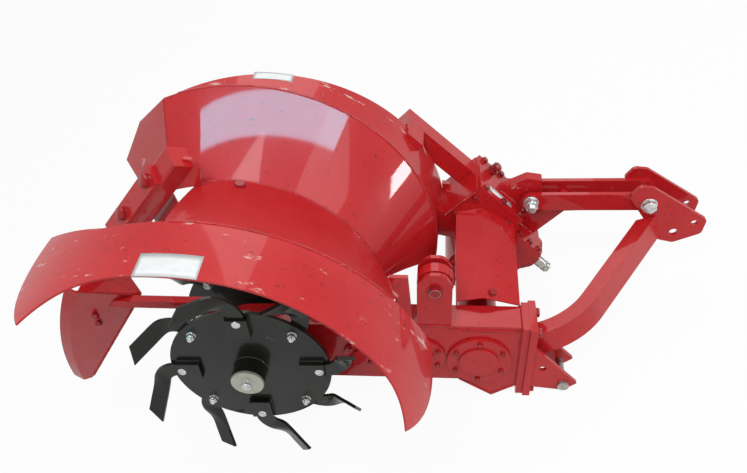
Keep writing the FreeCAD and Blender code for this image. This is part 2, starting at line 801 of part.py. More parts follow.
def smooth(spots, radius):
    """Spline through (angle, y) spots, evened out as on the sheet unrolled at this radius."""
    even = Part.Geom2d.BSplineCurve2d()
    even.interpolate([FreeCAD.Base.Vector2d(spot.x * radius, spot.y) for spot in spots])
    made = Part.Geom2d.BSplineCurve2d()
    made.buildFromPolesMultsKnots([FreeCAD.Base.Vector2d(pole.x / radius, pole.y) for pole in even.getPoles()],
                                  even.getMultiplicities(), even.getKnots(), False, even.Degree)
    return made


def cone_face(runs, y_low, r_low, y_high, r_high):
    """Face on the cone through (y_low, r_low) and (y_high, r_high).

    Its outline is a closed list of runs of (angle, y) points: two points make a straight cut in the
    unrolled sheet, more make a smooth one.
    """
    slant = math.atan2(r_high - r_low, y_high - y_low)
    base = Part.Cone() if abs(slant) > 1e-9 else Part.Cylinder()
    base.Radius = r_low
    if abs(slant) > 1e-9:
        base.SemiAngle = slant
    base.Center = V(0, 0, y_low)
    edges = []
    for run in runs:
        spots = [FreeCAD.Base.Vector2d(math.radians(360 + SEAM - angle), (y - y_low) / math.cos(slant))
                 for angle, y in run]
        if len(spots) == 2:
            curve = Part.Geom2d.Line2dSegment(spots[0], spots[1])
        else:
            curve = smooth(spots, r_low)
        edges.append(curve.toShape(base))
    face = Part.Face(base, Part.Wire(edges))
    face.validate()
    return face


def rolled_sheet(label, runs, y_low, r_low, y_high, r_high):
    """Sheet of the hood's thickness standing outwards from the cone face with this outline."""
    inner = cone_face(runs, y_low, r_low, y_high, r_high)
    outer = cone_face(runs, y_low, r_low + SHEET, y_high, r_high + SHEET)
    walls = [Part.makeRuledSurface(p, q) for p, q in zip(inner.OuterWire.OrderedEdges,
                                                         outer.OuterWire.OrderedEdges)]
    shell = Part.Shell([inner, outer] + walls)
    shell.sewShape()
    solid = Part.Solid(shell)
    solid.fix(0.01, 0.01, 0.01)
    if solid.Volume < 0:
        solid.reverse()
    made = feature(label, solid)
    made.Placement = AXIS_FRAME
    return made


MOUTH_Y, MOUTH_R = val("mouth_y"), val("mouth_radius")
EDGE_Y = val("mouth_edge")
WAIST_Y, WAIST_R = val("waist_y"), val("waist_radius")
RIM_Y, RIM_R = val("rim_y"), val("rim_radius")
SEAM_A = val("seam_angle")
MOUTH_FRONT, MOUTH_REAR = val("mouth_front"), val("mouth_rear")
WAIST_FRONT, WAIST_REAR = val("waist_front"), val("waist_rear")
RIM_FRONT, RIM_REAR = val("rim_front"), val("rim_rear")
BAND_BASE = MOUTH_Y + 100


def straight(*corners):
    """Runs for straight cuts from corner to corner, closed."""
    return [[p, q] for p, q in zip(corners, corners[1:] + corners[:1])]


mouth_band = rolled_sheet("mouth_band", [
    [(31, EDGE_Y - 137), (36, EDGE_Y - 62), (46, EDGE_Y - 33), (62, EDGE_Y - 10), (88, EDGE_Y - 1),
     (108, EDGE_Y - 17), (117, EDGE_Y - 76)],
    [(117, EDGE_Y - 76), (122, EDGE_Y + 3), (124.5, MOUTH_Y - 50), (123, MOUTH_Y + 44)],
    [(123, MOUTH_Y + 44), (106, MOUTH_Y)], [(106, MOUTH_Y), (21, MOUTH_Y)],
    [(21, MOUTH_Y), (19.3, MOUTH_Y - 75), (22.5, EDGE_Y - 30), (31, EDGE_Y - 137)]],
    EDGE_Y, MOUTH_R, BAND_BASE, MOUTH_R)
near_cone = rolled_sheet("near_cone", straight((MOUTH_FRONT, MOUTH_Y), (MOUTH_REAR, MOUTH_Y),
                                               (WAIST_REAR, WAIST_Y), (WAIST_FRONT, WAIST_Y)),
                         MOUTH_Y, MOUTH_R, WAIST_Y, WAIST_R)
far_cone = rolled_sheet("far_cone", straight((WAIST_FRONT, WAIST_Y), (SEAM_A, WAIST_Y),
                                             (SEAM_A, RIM_Y), (RIM_FRONT, RIM_Y)),
                        WAIST_Y, WAIST_R, RIM_Y, RIM_R)
BAND_TOP, BAND_SIDE, BAND_FOOT = val("rim_band_top"), val("rim_band_side"), val("rim_band_foot")
far_band = rolled_sheet("far_band", [
    [(RIM_FRONT, RIM_Y), (RIM_REAR, RIM_Y)],
    [(RIM_REAR, RIM_Y), (val("rim_top_angle"), RIM_Y + BAND_TOP), (val("rim_side_angle"), RIM_Y + BAND_SIDE),
     (RIM_FRONT, RIM_Y + BAND_FOOT)],
    [(RIM_FRONT, RIM_Y + BAND_FOOT), (RIM_FRONT, RIM_Y)]],
    RIM_Y, RIM_R, RIM_Y + BAND_FOOT, RIM_R + BAND_FOOT * val("rim_flare"))
node("hood_mouth_band", mouth_band)
node("hood_near_cone", near_cone)
node("hood_far_cone", far_cone)
node("hood_far_band", far_band)

root_in = on_hood(SEAM_A, WAIST_Y, WAIST_R)
root_out = on_hood(SEAM_A, RIM_Y, RIM_R)
wing_far = vec("flap_far_x", "rim_y", "flap_far_z")
wing_normal = (root_out - root_in).cross(wing_far - root_in)
wing_normal.normalize()
if wing_normal.z < 0:
    wing_normal = wing_normal * -1


def on_wing(x, z):
    """Point of the flat wing's plane above this x and z."""
    x, z = val(x), val(z)
    return V(x, root_in.y - (wing_normal.x * (x - root_in.x) + wing_normal.z * (z - root_in.z))
             / wing_normal.y, z)


wing_points = [root_in, root_out, on_wing("flap_top_x", "flap_top_z"), wing_far,
               on_wing("flap_foot_x", "flap_far_z"), on_wing("flap_notch_x", "flap_notch_z"),
               on_wing("flap_root_x", "flap_root_z")]
wing = Part.Face(Part.makePolygon(wing_points + wing_points[:1])).extrude(wing_normal * SHEET)
node("hood_wing", feature("wing_sheet", wing))

# ---- loop frame and saddle, machine frame ----------------------------------------------------
HOOD_F = "(hood_x * cos(case_slope) - hood_z * sin(case_slope))"
HOOD_U = "(hood_x * sin(case_slope) + hood_z * cos(case_slope))"
TUBE_LOW = "loop_u - loop_tube / 2"
TUBE_HIGH = "loop_u + loop_tube / 2"


def rim_core(label, low, high):
    """Solid inside the far band's outer face between low and high, for trimming what is welded to it."""
    made = doc.addObject("Part::Cone", label)
    for prop, y in (("Radius1", low), ("Radius2", high)):
        bind(made, prop, "rim_radius + hood_sheet + rim_flare * (%s - rim_y)" % y)
    bind(made, "Height", "%s - %s" % (high, low))
    made.Placement = FreeCAD.Placement(V(), FreeCAD.Rotation(V(1, 0, 0), -90))
    bind(made, "Placement.Base.x", HOOD_F)
    bind(made, "Placement.Base.y", low)
    bind(made, "Placement.Base.z", HOOD_U)
    return made


long_tube = block("loop_long", ("loop_rear", "box_rear"), (HIGH + " - loop_tube", HIGH), (TUBE_LOW, TUBE_HIGH))
short_tube = block("loop_short", ("loop_rear", "loop_rear + loop_tube"), ("loop_near", HIGH + " - loop_tube"),
                   (TUBE_LOW, TUBE_HIGH))
loop_core = rim_core("loop_core", "rim_y", "rim_y + rim_band_side + core_margin")
node("hood_loop_frame", cut("loop_cut", fuse("loop_joined", long_tube, short_tube), loop_core), frame="machine")
SLANT = "(box_low - lobe_u) / (lobe_f - lobe_radius - box_rear)"
saddle = plate("saddle_body", [("box_rear", "box_low"), ("box_rear - saddle_out", "box_low"),
                               ("box_rear - saddle_in", "saddle_bottom"), ("box_rear", "saddle_bottom"),
                               ("box_rear + saddle_along", "box_low - saddle_along * " + SLANT)],
               LOW, "hitch_half + saddle_reach")
saddle_cut = cut("saddle_cut", saddle, rim_core("saddle_core", "rim_y", "rim_y + rim_band_foot"))
ear = plate("saddle_ear", [("box_rear", "box_low + saddle_ear_rise"),
                           ("box_rear - saddle_ear_out", "box_low - saddle_ear_drop"),
                           ("box_rear - saddle_in", "saddle_bottom"), ("box_rear", "saddle_bottom")],
            "hitch_half + saddle_reach", "hitch_half + saddle_reach + saddle_ear_depth")
ear_cut = cut("saddle_ear_cut", ear, rim_core("ear_core", "rim_y", "rim_y + rim_band_foot"))
node("gearbox_saddle", fuse("saddle_joined", saddle_cut, ear_cut), frame="machine")

# ---- lugs on the case ------------------------------------------------------------------------
hood_lug = plate("hood_lug_body", [("hood_lug_rear", "case_roof"), ("hood_lug_front", "case_roof"),
                                   ("hood_lug_tip", "hood_lug_top"), ("hood_lug_rear", "hood_lug_top")],
                 "-case_half", "-case_half + lug_sheet")
FOOT_REAR = "hood_lug_rear - foot_depth"
hood_foot = plate("hood_foot_body", [(FOOT_REAR, "case_roof"), ("hood_lug_rear", "case_roof"),
                                     ("hood_lug_rear", "foot_front_top"), (FOOT_REAR, "foot_rear_top")],
                  "-case_half", "waist_y + hood_sheet")


def hood_core(label, x, z):
    """Solid inside the near cone's outer face, for trimming what is welded to it."""
    made = doc.addObject("Part::Cone", label)
    bind(made, "Radius1", "mouth_radius + hood_sheet")
    bind(made, "Radius2", "waist_radius + hood_sheet")
    bind(made, "Height", "waist_y - mouth_y")
    made.Placement = FreeCAD.Placement(V(), FreeCAD.Rotation(V(1, 0, 0), -90))
    bind(made, "Placement.Base.x", x)
    bind(made, "Placement.Base.y", "mouth_y")
    bind(made, "Placement.Base.z", z)
    return made


node("hood_lug", cut("hood_lug_cut", hood_lug, hood_core("lug_core", "hood_x", "hood_z")))
node("hood_foot", cut("hood_foot_cut", hood_foot, hood_core("foot_core", "hood_x", "hood_z")))
pivot_plate = plate("pivot_plate", [("pivot_x - pivot_rear", "case_roof"),
                                    ("pivot_x - pivot_rear", "pivot_z + pivot_shoulder"),
                                    ("pivot_x - pivot_crest", "pivot_z + pivot_crest_rise"),
                                    ("pivot_x + pivot_crest", "pivot_z + pivot_crest_rise"),
                                    ("pivot_x + pivot_front", "pivot_z + pivot_shoulder"),
                                    ("pivot_x + pivot_front", "case_roof")],
                    "-case_half", "-case_half + lug_sheet",
                    [("pivot_x", "pivot_z", "pivot_radius + pin_clearance")])
above_case = val("case_roof") + 1
rounds(pivot_plate, "pivot_round", lambda p, e: p.z > above_case and abs(e.Vertexes[0].Y - e.Vertexes[1].Y) > 5)
node("pivot_lug", pivot_plate, mirror_y("pivot_plate_far", pivot_plate))
eye_round = rod("eye_round", "eye_radius", "pivot_x", "pivot_z", "-eye_half", "eye_half")
eye_leg = block("eye_leg", ("pivot_x - eye_leg_half", "pivot_x + eye_leg_half"), ("-eye_half", "eye_half"),
                ("case_roof", "pivot_z"))
eye_hole = rod("eye_hole", "pivot_radius + pin_clearance", "pivot_x", "pivot_z", "-case_half", "case_half")
node("pivot_eye", cut("eye_bored", fuse("eye_shape", eye_round, eye_leg), eye_hole))
node("pivot_pin", rod("pivot_bar", "pivot_radius", "pivot_x", "pivot_z", "-case_half - pivot_tail",
                        "case_half + pivot_tail"))

# ---- scraper behind the rotor, machine frame -------------------------------------------------
ARM = FreeCAD.Placement(vec("arm_foot_f", "0", "leaf_top + leaf_sheet"),
                        FreeCAD.Rotation(V(0, 1, 0), -val("arm_lean")).multiply(
                            FreeCAD.Rotation(V(0, 0, 1), val("arm_turn"))))
HALF = "arm_side / 2"


def arm_piece(label, x, y, low, high):
    """Square-ended bar along the leaning arm, between limits in the arm's own turned frame."""
    made = body(label)
    flat = sketch(made, label + "_section", "XY_Plane", low)
    outline(flat, [(x[0], y[0]), (x[1], y[0]), (x[1], y[1]), (x[0], y[1])])
    pad(made, flat, "%s - (%s)" % (high, low))
    made.Placement = ARM
    return made


arm = arm_piece("arm_body", ("-" + HALF, HALF), ("-" + HALF, HALF), "-arm_side", "arm_top - leaf_top")
rounds(arm, "arm_round", lambda p, e: abs(e.Vertexes[0].Z - e.Vertexes[1].Z) > 100)
under = block("under_lid", ("-" + TRIM, "0"), ("-" + TRIM, TRIM), ("-" + TRIM, "leaf_top + leaf_sheet"))
arm_cut = cut("arm_cut", arm, under)
node("scraper_arm", arm_cut, frame="machine")
strap = arm_piece("strap_body", ("-%s - strap_sheet" % HALF, "-" + HALF), ("-" + HALF, HALF),
                  "strap_low", "strap_high")
node("scraper_strap", strap, frame="machine")
gusset = plate("gusset_body", [("arm_foot_f - gusset_rear", "arm_top + gusset_rear_rise"),
                               ("arm_foot_f - gusset_crest", "arm_top + gusset_crest_rise"),
                               ("arm_foot_f + gusset_fore", "arm_top + gusset_fore_rise"),
                               ("arm_foot_f + gusset_tip", "arm_top - gusset_tip_drop"),
                               ("arm_foot_f + gusset_toe", "arm_top - gusset_toe_drop"),
                               ("arm_foot_f - gusset_heel", "arm_top - gusset_heel_drop")],
               "-gusset_half", "gusset_half")
gusset_cut = cut("gusset_cut", gusset, hood_core("gusset_core", HOOD_F, HOOD_U))
node("scraper_gusset", cut("gusset_trimmed", gusset_cut, arm_cut), frame="machine")
lid_plate = plate("leaf_lid", [("ridge_top_f", "0"), ("wing_rear", "wing_half"), ("wing_rear", "-wing_half")],
                  "leaf_top", "leaf_top + leaf_sheet", role="XY_Plane")
node("scraper_lid", lid_plate, frame="machine")

ridge_top = vec("ridge_top_f", "0", "leaf_top")
ridge_tip = vec("ridge_tip_f", "0", "leaf_tip")
wing_top = vec("wing_rear", "-wing_half", "leaf_top")
face_normal = (ridge_tip - ridge_top).cross(wing_top - ridge_top)
face_normal.normalize()
if face_normal.y > 0:
    face_normal = face_normal * -1
outward = (wing_top - ridge_tip).cross(face_normal)
outward.normalize()
if outward.dot(wing_top - ridge_top) < 0:
    outward = outward * -1
BULGE, TIP_WIDE = val("leaf_bulge"), val("leaf_tip_wide")
LEAF_SHEET = val("leaf_sheet")
WIDE = val(TRIM)


def outer_edge(inset):
    """Curved outer edge of the leaf's wing, moved inwards by the inset."""
    low = ridge_tip + outward * (TIP_WIDE - inset)
    high = wing_top - outward * inset
    return low, (low + high) * 0.5 + outward * BULGE, high


low, mid, high = outer_edge(0)
outer_arc = Part.Arc(low, mid, high).toShape()
wing_face = Part.Face(Part.Wire([Part.makeLine(ridge_top, ridge_tip), Part.makeLine(ridge_tip, low),
                                 outer_arc, Part.makeLine(high, ridge_top)]))
wing_solid = wing_face.extrude(face_normal * -LEAF_SHEET)
in_low, in_mid, in_high = outer_edge(LEAF_SHEET)
lip_face = Part.Face(Part.Wire([outer_arc, Part.makeLine(high, in_high),
                                Part.Arc(in_high, in_mid, in_low).toShape(), Part.makeLine(in_low, low)]))
lip_solid = lip_face.extrude(V(-val("leaf_lip"), 0, 0))
far_side = Part.makeBox(WIDE, WIDE, WIDE, V(-WIDE, 0, -WIDE))
above = Part.makeBox(WIDE, 2 * WIDE, WIDE, V(-WIDE, -WIDE, val("leaf_top")))
near_wing = wing_solid.fuse(lip_solid).cut(far_side).cut(above).removeSplitter()
far_wing = near_wing.mirror(V(), V(0, 1, 0))
leaf = near_wing.fuse(far_wing).removeSplitter()
node("scraper_leaf", feature("leaf_shape", leaf), frame="machine")

wedge_points = [ridge_top, wing_top, V(wing_top.x, -wing_top.y, wing_top.z)]
wedge_faces = [Part.Face(Part.makePolygon([p, q, r, p])) for p, q, r in (
    wedge_points, (wedge_points[0], wedge_points[1], ridge_tip), (wedge_points[1], wedge_points[2], ridge_tip),
    (wedge_points[2], wedge_points[0], ridge_tip))]
wedge = feature("leaf_wedge", Part.Solid(Part.Shell(wedge_faces)))
wedge.Placement = FreeCAD.Placement(V(), FreeCAD.Rotation(V(0, 1, 0), val("case_slope")))
tie = block("tie_block", ("-tie_rear", "-tie_front"), ("tie_y - tie_half", "tie_y + tie_half"),
            ("tie_z - tie_half", "tie_z + tie_half"))
node("scraper_tie_bar", cut("tie_cut", tie, wedge))
tie_lug = plate("tie_lug_body", [("-tie_front", "tie_lug_foot"), ("-tie_front", "tie_z + tie_lug_rise"),
                                 ("-tie_lug_top", "tie_z + tie_lug_rise"), ("-tie_lug_front", "tie_lug_step"),
                                 ("-tie_lug_front", "tie_lug_foot")],
                "tie_y - tie_lug_half", "tie_y + tie_lug_half")
round_end = rod("round_end", "case_radius", "0", "0", "-case_half", "case_half")
node("scraper_tie_lug", cut("tie_lug_cut", tie_lug, round_end))

# ---- rotor: shaft, discs, sockets and tines --------------------------------------------------
hub_near = rod("hub_near", "hub_radius", "0", "0", "-hub_reach", "-hub_start")
hub_far = rod("hub_far", "hub_radius", "0", "0", "hub_start", "hub_reach")
spindle = rod("spindle", "shaft_radius", "0", "0", "-hub_reach", "hub_reach")
node("rotor_shaft", fuse("rotor_shaft_joined", spindle, hub_near, hub_far), carried="rotor")
washer_bar = rod("washer_bar", "washer_radius", "0", "0", "-hub_reach - washer_depth", "-hub_reach")
washer_bolt = rod("washer_bolt", "washer_bolt_radius", "0", "0",
                  "-hub_reach - washer_depth - washer_bolt_depth", "-hub_reach - washer_depth")
washer = fuse("end_washer", washer_bar, washer_bolt)
node("rotor_end_washers", washer, mirror_y("end_washer_far", washer), carried="rotor")

FACE = "disc_near_face"
disc = body("disc_body")
flat = sketch(disc, "disc_outline", "XZ_Plane", FACE)
circle(flat, "0", "0", "disc_radius")
pad(disc, flat, "disc_depth")
flat = sketch(disc, "disc_bore", "XZ_Plane", FACE)
circle(flat, "0", "0", "hub_radius")
pocket(disc, flat, "4 * disc_depth", midplane=True)
flat = sketch(disc, "disc_hole", "XZ_Plane", FACE)
circle(flat, "tine_bolt_circle * cos(tine_phase)", "tine_bolt_circle * sin(tine_phase)", "tine_bolt_hole")
holes = pocket(disc, flat, "4 * disc_depth", midplane=True)
polar(disc, holes, "Y_Axis", "tine_count")
node("rotor_discs", disc, mirror_y("disc_far", disc), carried="rotor")

OUT = "-(disc_near_face + disc_depth)"
SLOT = "tine_width / 2 + socket_clearance"
WALL = "tine_width / 2 + socket_clearance + socket_wall"
FLOOR = OUT + " - tine_depth - socket_clearance"
ROOF = FLOOR + " - socket_wall"
sockets = []
for k in range(int(val("tine_count") / 2)):
    socket = body("socket_%d" % k)
    flat = sketch(socket, "socket_%d_section" % k, "YZ_Plane", "socket_inner_end")
    outline(flat, [(OUT, WALL), (ROOF, WALL), (ROOF, "-(%s)" % WALL), (OUT, "-(%s)" % WALL),
                   (OUT, "-(%s)" % SLOT), (FLOOR, "-(%s)" % SLOT), (FLOOR, SLOT), (OUT, SLOT)])
    pad(socket, flat, "tine_shank_end - socket_inner_end")
    flat = sketch(socket, "socket_%d_hole" % k, "XZ_Plane", FACE)
    circle(flat, "tine_bolt_circle", "0", "tine_bolt_hole")
    pocket(socket, flat, "2 * hub_reach", midplane=True)
    socket.Placement = FreeCAD.Placement(V(), FreeCAD.Rotation(V(0, 1, 0), -val("tine_phase") - 90 * k))
    sockets.append(socket)
node("tine_sockets", *sockets, *[mirror_y(s.Name + "_far", s) for s in sockets], carried="rotor")


def folded(radial, tangent, lift):
    """Point of the tine's flat pattern after its leg is folded towards -Y; lift is along the face."""
    start, radius = val("tine_fold_start"), val("tine_fold_radius")
    limit = math.radians(val("tine_fold"))
    past = tangent - start
    if past <= 0:
        return V(radial, lift, tangent)
    turned = min(past / radius, limit)
    along = start + radius * math.sin(turned)
    down = -radius * (1 - math.cos(turned))
    rest = max(0, past - radius * limit)
    along += rest * math.cos(turned)
    down -= rest * math.sin(turned)
    return V(radial, down + lift * math.cos(turned), along + lift * math.sin(turned))


TURN_STEPS, LEG_STEPS = 5, 4


def tine_edge(side, lift):
    """Long edge of the tine: side is -1 or 1 across its width, lift is its height off mid-thickness."""
    turn = math.radians(val("tine_turn"))
    radius, width = val("tine_turn_radius"), val("tine_width") / 2
    root, shank_end = val("tine_root"), val("tine_shank_end")
    leg_long = val("tine_leg") + val("tine_leg_skew") * side
    flat_points = [(root, side * width), ((root + shank_end) / 2, side * width)]
    for k in range(TURN_STEPS + 1):
        a = turn * k / TURN_STEPS
        cx = shank_end + radius * math.sin(a)
        cy = radius * (1 - math.cos(a))
        flat_points.append((cx - side * width * math.sin(a), cy + side * width * math.cos(a)))
    end = flat_points[-1]
    for k in range(1, LEG_STEPS + 1):
        step = leg_long * k / LEG_STEPS
        flat_points.append((end[0] + step * math.cos(turn), end[1] + step * math.sin(turn)))
    curve = Part.BSplineCurve()
    curve.interpolate([folded(p[0], p[1], lift) for p in flat_points])
    return curve.toShape()


def tine_solid():
    thick = val("tine_depth") / 2
    edges = [tine_edge(1, thick), tine_edge(-1, thick), tine_edge(-1, -thick), tine_edge(1, -thick)]
    faces = [Part.makeRuledSurface(edges[k], edges[(k + 1) % 4]) for k in range(4)]
    for end in (0, 1):
        ring = [e.Vertexes[0 if end == 0 else -1].Point for e in edges]
        faces.append(Part.Face(Part.makePolygon(ring + ring[:1])))
    shell = Part.Shell(faces)
    shell.sewShape()
    solid = Part.Solid(shell)
    solid.fix(0.01, 0.01, 0.01)
    if solid.Volume < 0:
        solid.reverse()
    hole = Part.makeCylinder(val("tine_bolt_hole"), 60, V(val("tine_bolt_circle"), -30, 0), V(0, 1, 0))
    return solid.cut(hole).Solids[0]


blade = tine_solid()
tines = []
for k in range(int(val("tine_count"))):
    offset = val(OUT + " - tine_depth / 2") if k % 2 == 0 else val("-disc_near_face + tine_depth / 2")
    tine = feature("tine_%d" % k, blade)
    tine.Placement = FreeCAD.Placement(V(0, offset, 0), FreeCAD.Rotation(
        V(0, 1, 0), -val("tine_phase") - 360.0 * k / val("tine_count")))
    tines.append(tine)
node("rotor_tines", *tines, *[mirror_y(t.Name + "_far", t) for t in tines], carried="rotor")

# ---- parked attitude, origin at the middle of the footprint ----------------------------------
PARK = FreeCAD.Rotation(V(0, 1, 0), val("park_pitch"))
MACHINE = FreeCAD.Rotation(V(0, 1, 0), val("park_pitch + case_slope"))
doc.recompute()
for made, frame, carried in NODES:
    made.Placement = FreeCAD.Placement(V(), MACHINE if frame == "machine" else PARK)
doc.recompute()
bounds = FreeCAD.BoundBox()
for made, frame, carried in NODES:
    bounds.add(made.Shape.BoundBox)
SHIFT = V(-(bounds.XMin + bounds.XMax) / 2, -(bounds.YMin + bounds.YMax) / 2, -bounds.ZMin)
for made, frame, carried in NODES:
    made.Placement = FreeCAD.Placement(SHIFT, made.Placement.Rotation)
doc.recompute()

for item in doc.Objects:
    if "Invalid" in item.State or "Error" in item.State:
        raise RuntimeError("%s did not build" % item.Label)
os.makedirs("parts", exist_ok=True)
for made, frame, carried in NODES:
    if made.Shape.isNull() or not made.Shape.isValid():
        raise RuntimeError("%s has no valid shape" % made.Label)
    made.Shape.exportStep("parts/%s.step" % made.Label)


def placed(x, y, z, frame="case"):
    """A design point in the parked object's frame, in metres."""
    turn = MACHINE if frame == "machine" else PARK
    moved = turn.multVec(vec(x, y, z)) + SHIFT
    return [round(part / 1000, 5) for part in moved]


print("size", round(bounds.XLength), round(bounds.YLength), round(bounds.ZLength), "shift", SHIFT)
print("nodes", len(NODES))
print("rotor axis", placed("0", "0", "0"))
print("input axis", placed("input_start", "hitch_half", "input_u", "machine"),
      [round(p, 6) for p in MACHINE.multVec(V(1, 0, 0))])
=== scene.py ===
"""Tractor ditcher: finishes, fasteners, weld beads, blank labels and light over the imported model."""
import json
import math
import random

import bpy
from mathutils import Matrix, Vector


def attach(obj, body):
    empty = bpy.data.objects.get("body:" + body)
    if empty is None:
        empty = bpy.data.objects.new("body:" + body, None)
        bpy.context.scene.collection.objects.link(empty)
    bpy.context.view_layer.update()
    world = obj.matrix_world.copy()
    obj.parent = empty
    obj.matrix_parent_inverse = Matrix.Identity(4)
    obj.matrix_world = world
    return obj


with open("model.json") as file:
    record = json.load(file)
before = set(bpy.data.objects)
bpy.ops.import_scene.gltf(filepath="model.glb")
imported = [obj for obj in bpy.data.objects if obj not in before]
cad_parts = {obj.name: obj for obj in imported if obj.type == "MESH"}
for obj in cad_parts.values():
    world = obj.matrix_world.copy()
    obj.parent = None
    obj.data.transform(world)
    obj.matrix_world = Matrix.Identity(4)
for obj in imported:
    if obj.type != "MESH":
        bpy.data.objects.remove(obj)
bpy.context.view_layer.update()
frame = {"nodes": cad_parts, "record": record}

NODES = frame["nodes"]
JOINTS = {j["name"]: j for j in frame["record"]["behaviour"]["joints"]}
ROTOR = Vector(JOINTS["rotor_spin"]["pos_m"])
PARK_PITCH = math.radians(14.3)
CASE_SLOPE = math.radians(44.24)
PARK = Matrix.Rotation(PARK_PITCH, 3, "Y")
MACHINE = Matrix.Rotation(PARK_PITCH + CASE_SLOPE, 3, "Y")

# The part's own sizes in millimetres, for the places where fasteners, welds and labels sit.
HITCH_Y = 412.5
HOOD_X, HOOD_Z, HOOD_SHEET = -11, 165, 4
MOUTH_Y, MOUTH_R = -311, 559
WAIST_Y, WAIST_R = 45, 391
RIM_Y, RIM_R, RIM_FLARE = 269, 534, 0.1
CASE_HALF, CASE_ROOF, CASE_FRONT = 40, 125, 767
PLATE_FRONT = 808
COVER_FACE = -49
BOX_HALF, LID_TOP, NOSE_TOP = 81, 690, 640
CAP_FACE, INPUT_U = 600, 571
TUBE_X, TUBE_Z = 653, -16
DISC_FACE, DISC_BACK, TINE_BACK, SOCKET_FACE = 108, 98, 89, 124
TINE_CIRCLE, TINE_PHASE, TINE_COUNT = 201, 2.4, 8
SOCKET_START, SOCKET_END, SOCKET_HALF = 146, 216, 31
HUB_RADIUS, WASHER_FACE = 48, 164
ARM_FOOT, ARM_LEAN, ARM_TURN, ARM_HALF = (-492, 0, -84), 4.6, 38, 30


def case_dir(x, y, z):
    return PARK @ Vector((x, y, z))


def machine_dir(f, y, u):
    return MACHINE @ Vector((f, y, u))


def case_point(x, y, z):
    """Point given along the gear case, across it and up from it, off the rotor axis."""
    return ROTOR + case_dir(x, y, z) / 1000


def machine_point(f, y, u):
    """Point given forwards, across and upwards of the rotor axis, as the machine works."""
    return ROTOR + machine_dir(f, y, u) / 1000


def hood_point(angle, y, radius):
    """Point at this radius from the hood's axis, the angle counted from ahead upwards."""
    turned = math.radians(angle)
    return case_point(HOOD_X + radius * math.cos(turned), y, HOOD_Z + radius * math.sin(turned))


def arm_point(x, y, z):
    """Point in the leaning scraper arm's own turned frame."""
    turn = Matrix.Rotation(math.radians(-ARM_LEAN), 3, "Y") @ Matrix.Rotation(math.radians(ARM_TURN), 3, "Z")
    return machine_point(*(Vector(ARM_FOOT) + turn @ Vector((x, y, z))))


# ---- finishes --------------------------------------------------------------------------------
WHITE, BLACK = (1, 1, 1), (0, 0, 0)
RUST = (0.075, 0.032, 0.018)
DIRT, DIRT_STRENGTH = (0.22, 0.17, 0.15), 0.8
COAT, COAT_ROUGH, PAINT_SPECULAR = 0.4, 0.045, 0.1
EDGE_SHARP, EDGE_FLAT = 0.8, 0.985


def new_material(name):
    made = bpy.data.materials.new(name)
    made.use_nodes = True
    return made, made.node_tree.nodes, made.node_tree.links, made.node_tree.nodes["Principled BSDF"]


def noise(nodes, links, scale, detail, rough, coord):
    made = nodes.new("ShaderNodeTexNoise")
    made.inputs["Scale"].default_value = scale
    made.inputs["Detail"].default_value = detail
    made.inputs["Roughness"].default_value = rough
    links.new(coord, made.inputs["Vector"])
    return made.outputs["Fac"]


def ramp(nodes, links, source, low, high, first, last):
    made = nodes.new("ShaderNodeValToRGB")
    made.color_ramp.elements[0].position = low
    made.color_ramp.elements[1].position = high
    made.color_ramp.elements[0].color = (*first, 1)
    made.color_ramp.elements[1].color = (*last, 1)
    links.new(source, made.inputs["Fac"])
    return made.outputs["Color"]


def blend(nodes, links, factor, first, second, mode="MIX"):
    made = nodes.new("ShaderNodeMix")
    made.data_type = "RGBA"
    made.blend_type = mode
    for socket, value in ((made.inputs["Factor"], factor), (made.inputs["A"], first),
                          (made.inputs["B"], second)):
        if isinstance(value, tuple):
            socket.default_value = (*value, 1)
        elif isinstance(value, float):
            socket.default_value = value
        else:
            links.new(value, socket)
    return made.outputs["Result"]


def bump(nodes, links, shader, height, strength, distance, normal=None):
    made = nodes.new("ShaderNodeBump")
    made.inputs["Strength"].default_value = strength
    made.inputs["Distance"].default_value = distance
    links.new(height, made.inputs["Height"])
    if normal is not None:
        links.new(normal, made.inputs["Normal"])
    links.new(made.outputs["Normal"], shader.inputs["Normal"])


def soft_edges(nodes, links, radius):
    """Normal rounded over sharp edges, and a mask that is white along them."""
    rounded = nodes.new("ShaderNodeBevel")
    rounded.samples = 4
    rounded.inputs["Radius"].default_value = radius
    true_normal = nodes.new("ShaderNodeNewGeometry").outputs["True Normal"]
    along = nodes.new("ShaderNodeVectorMath")
    along.operation = "DOT_PRODUCT"
    links.new(rounded.outputs["Normal"], along.inputs[0])
    links.new(true_normal, along.inputs[1])
    mask = ramp(nodes, links, along.outputs["Value"], EDGE_SHARP, EDGE_FLAT, WHITE, BLACK)
    return rounded.outputs["Normal"], mask


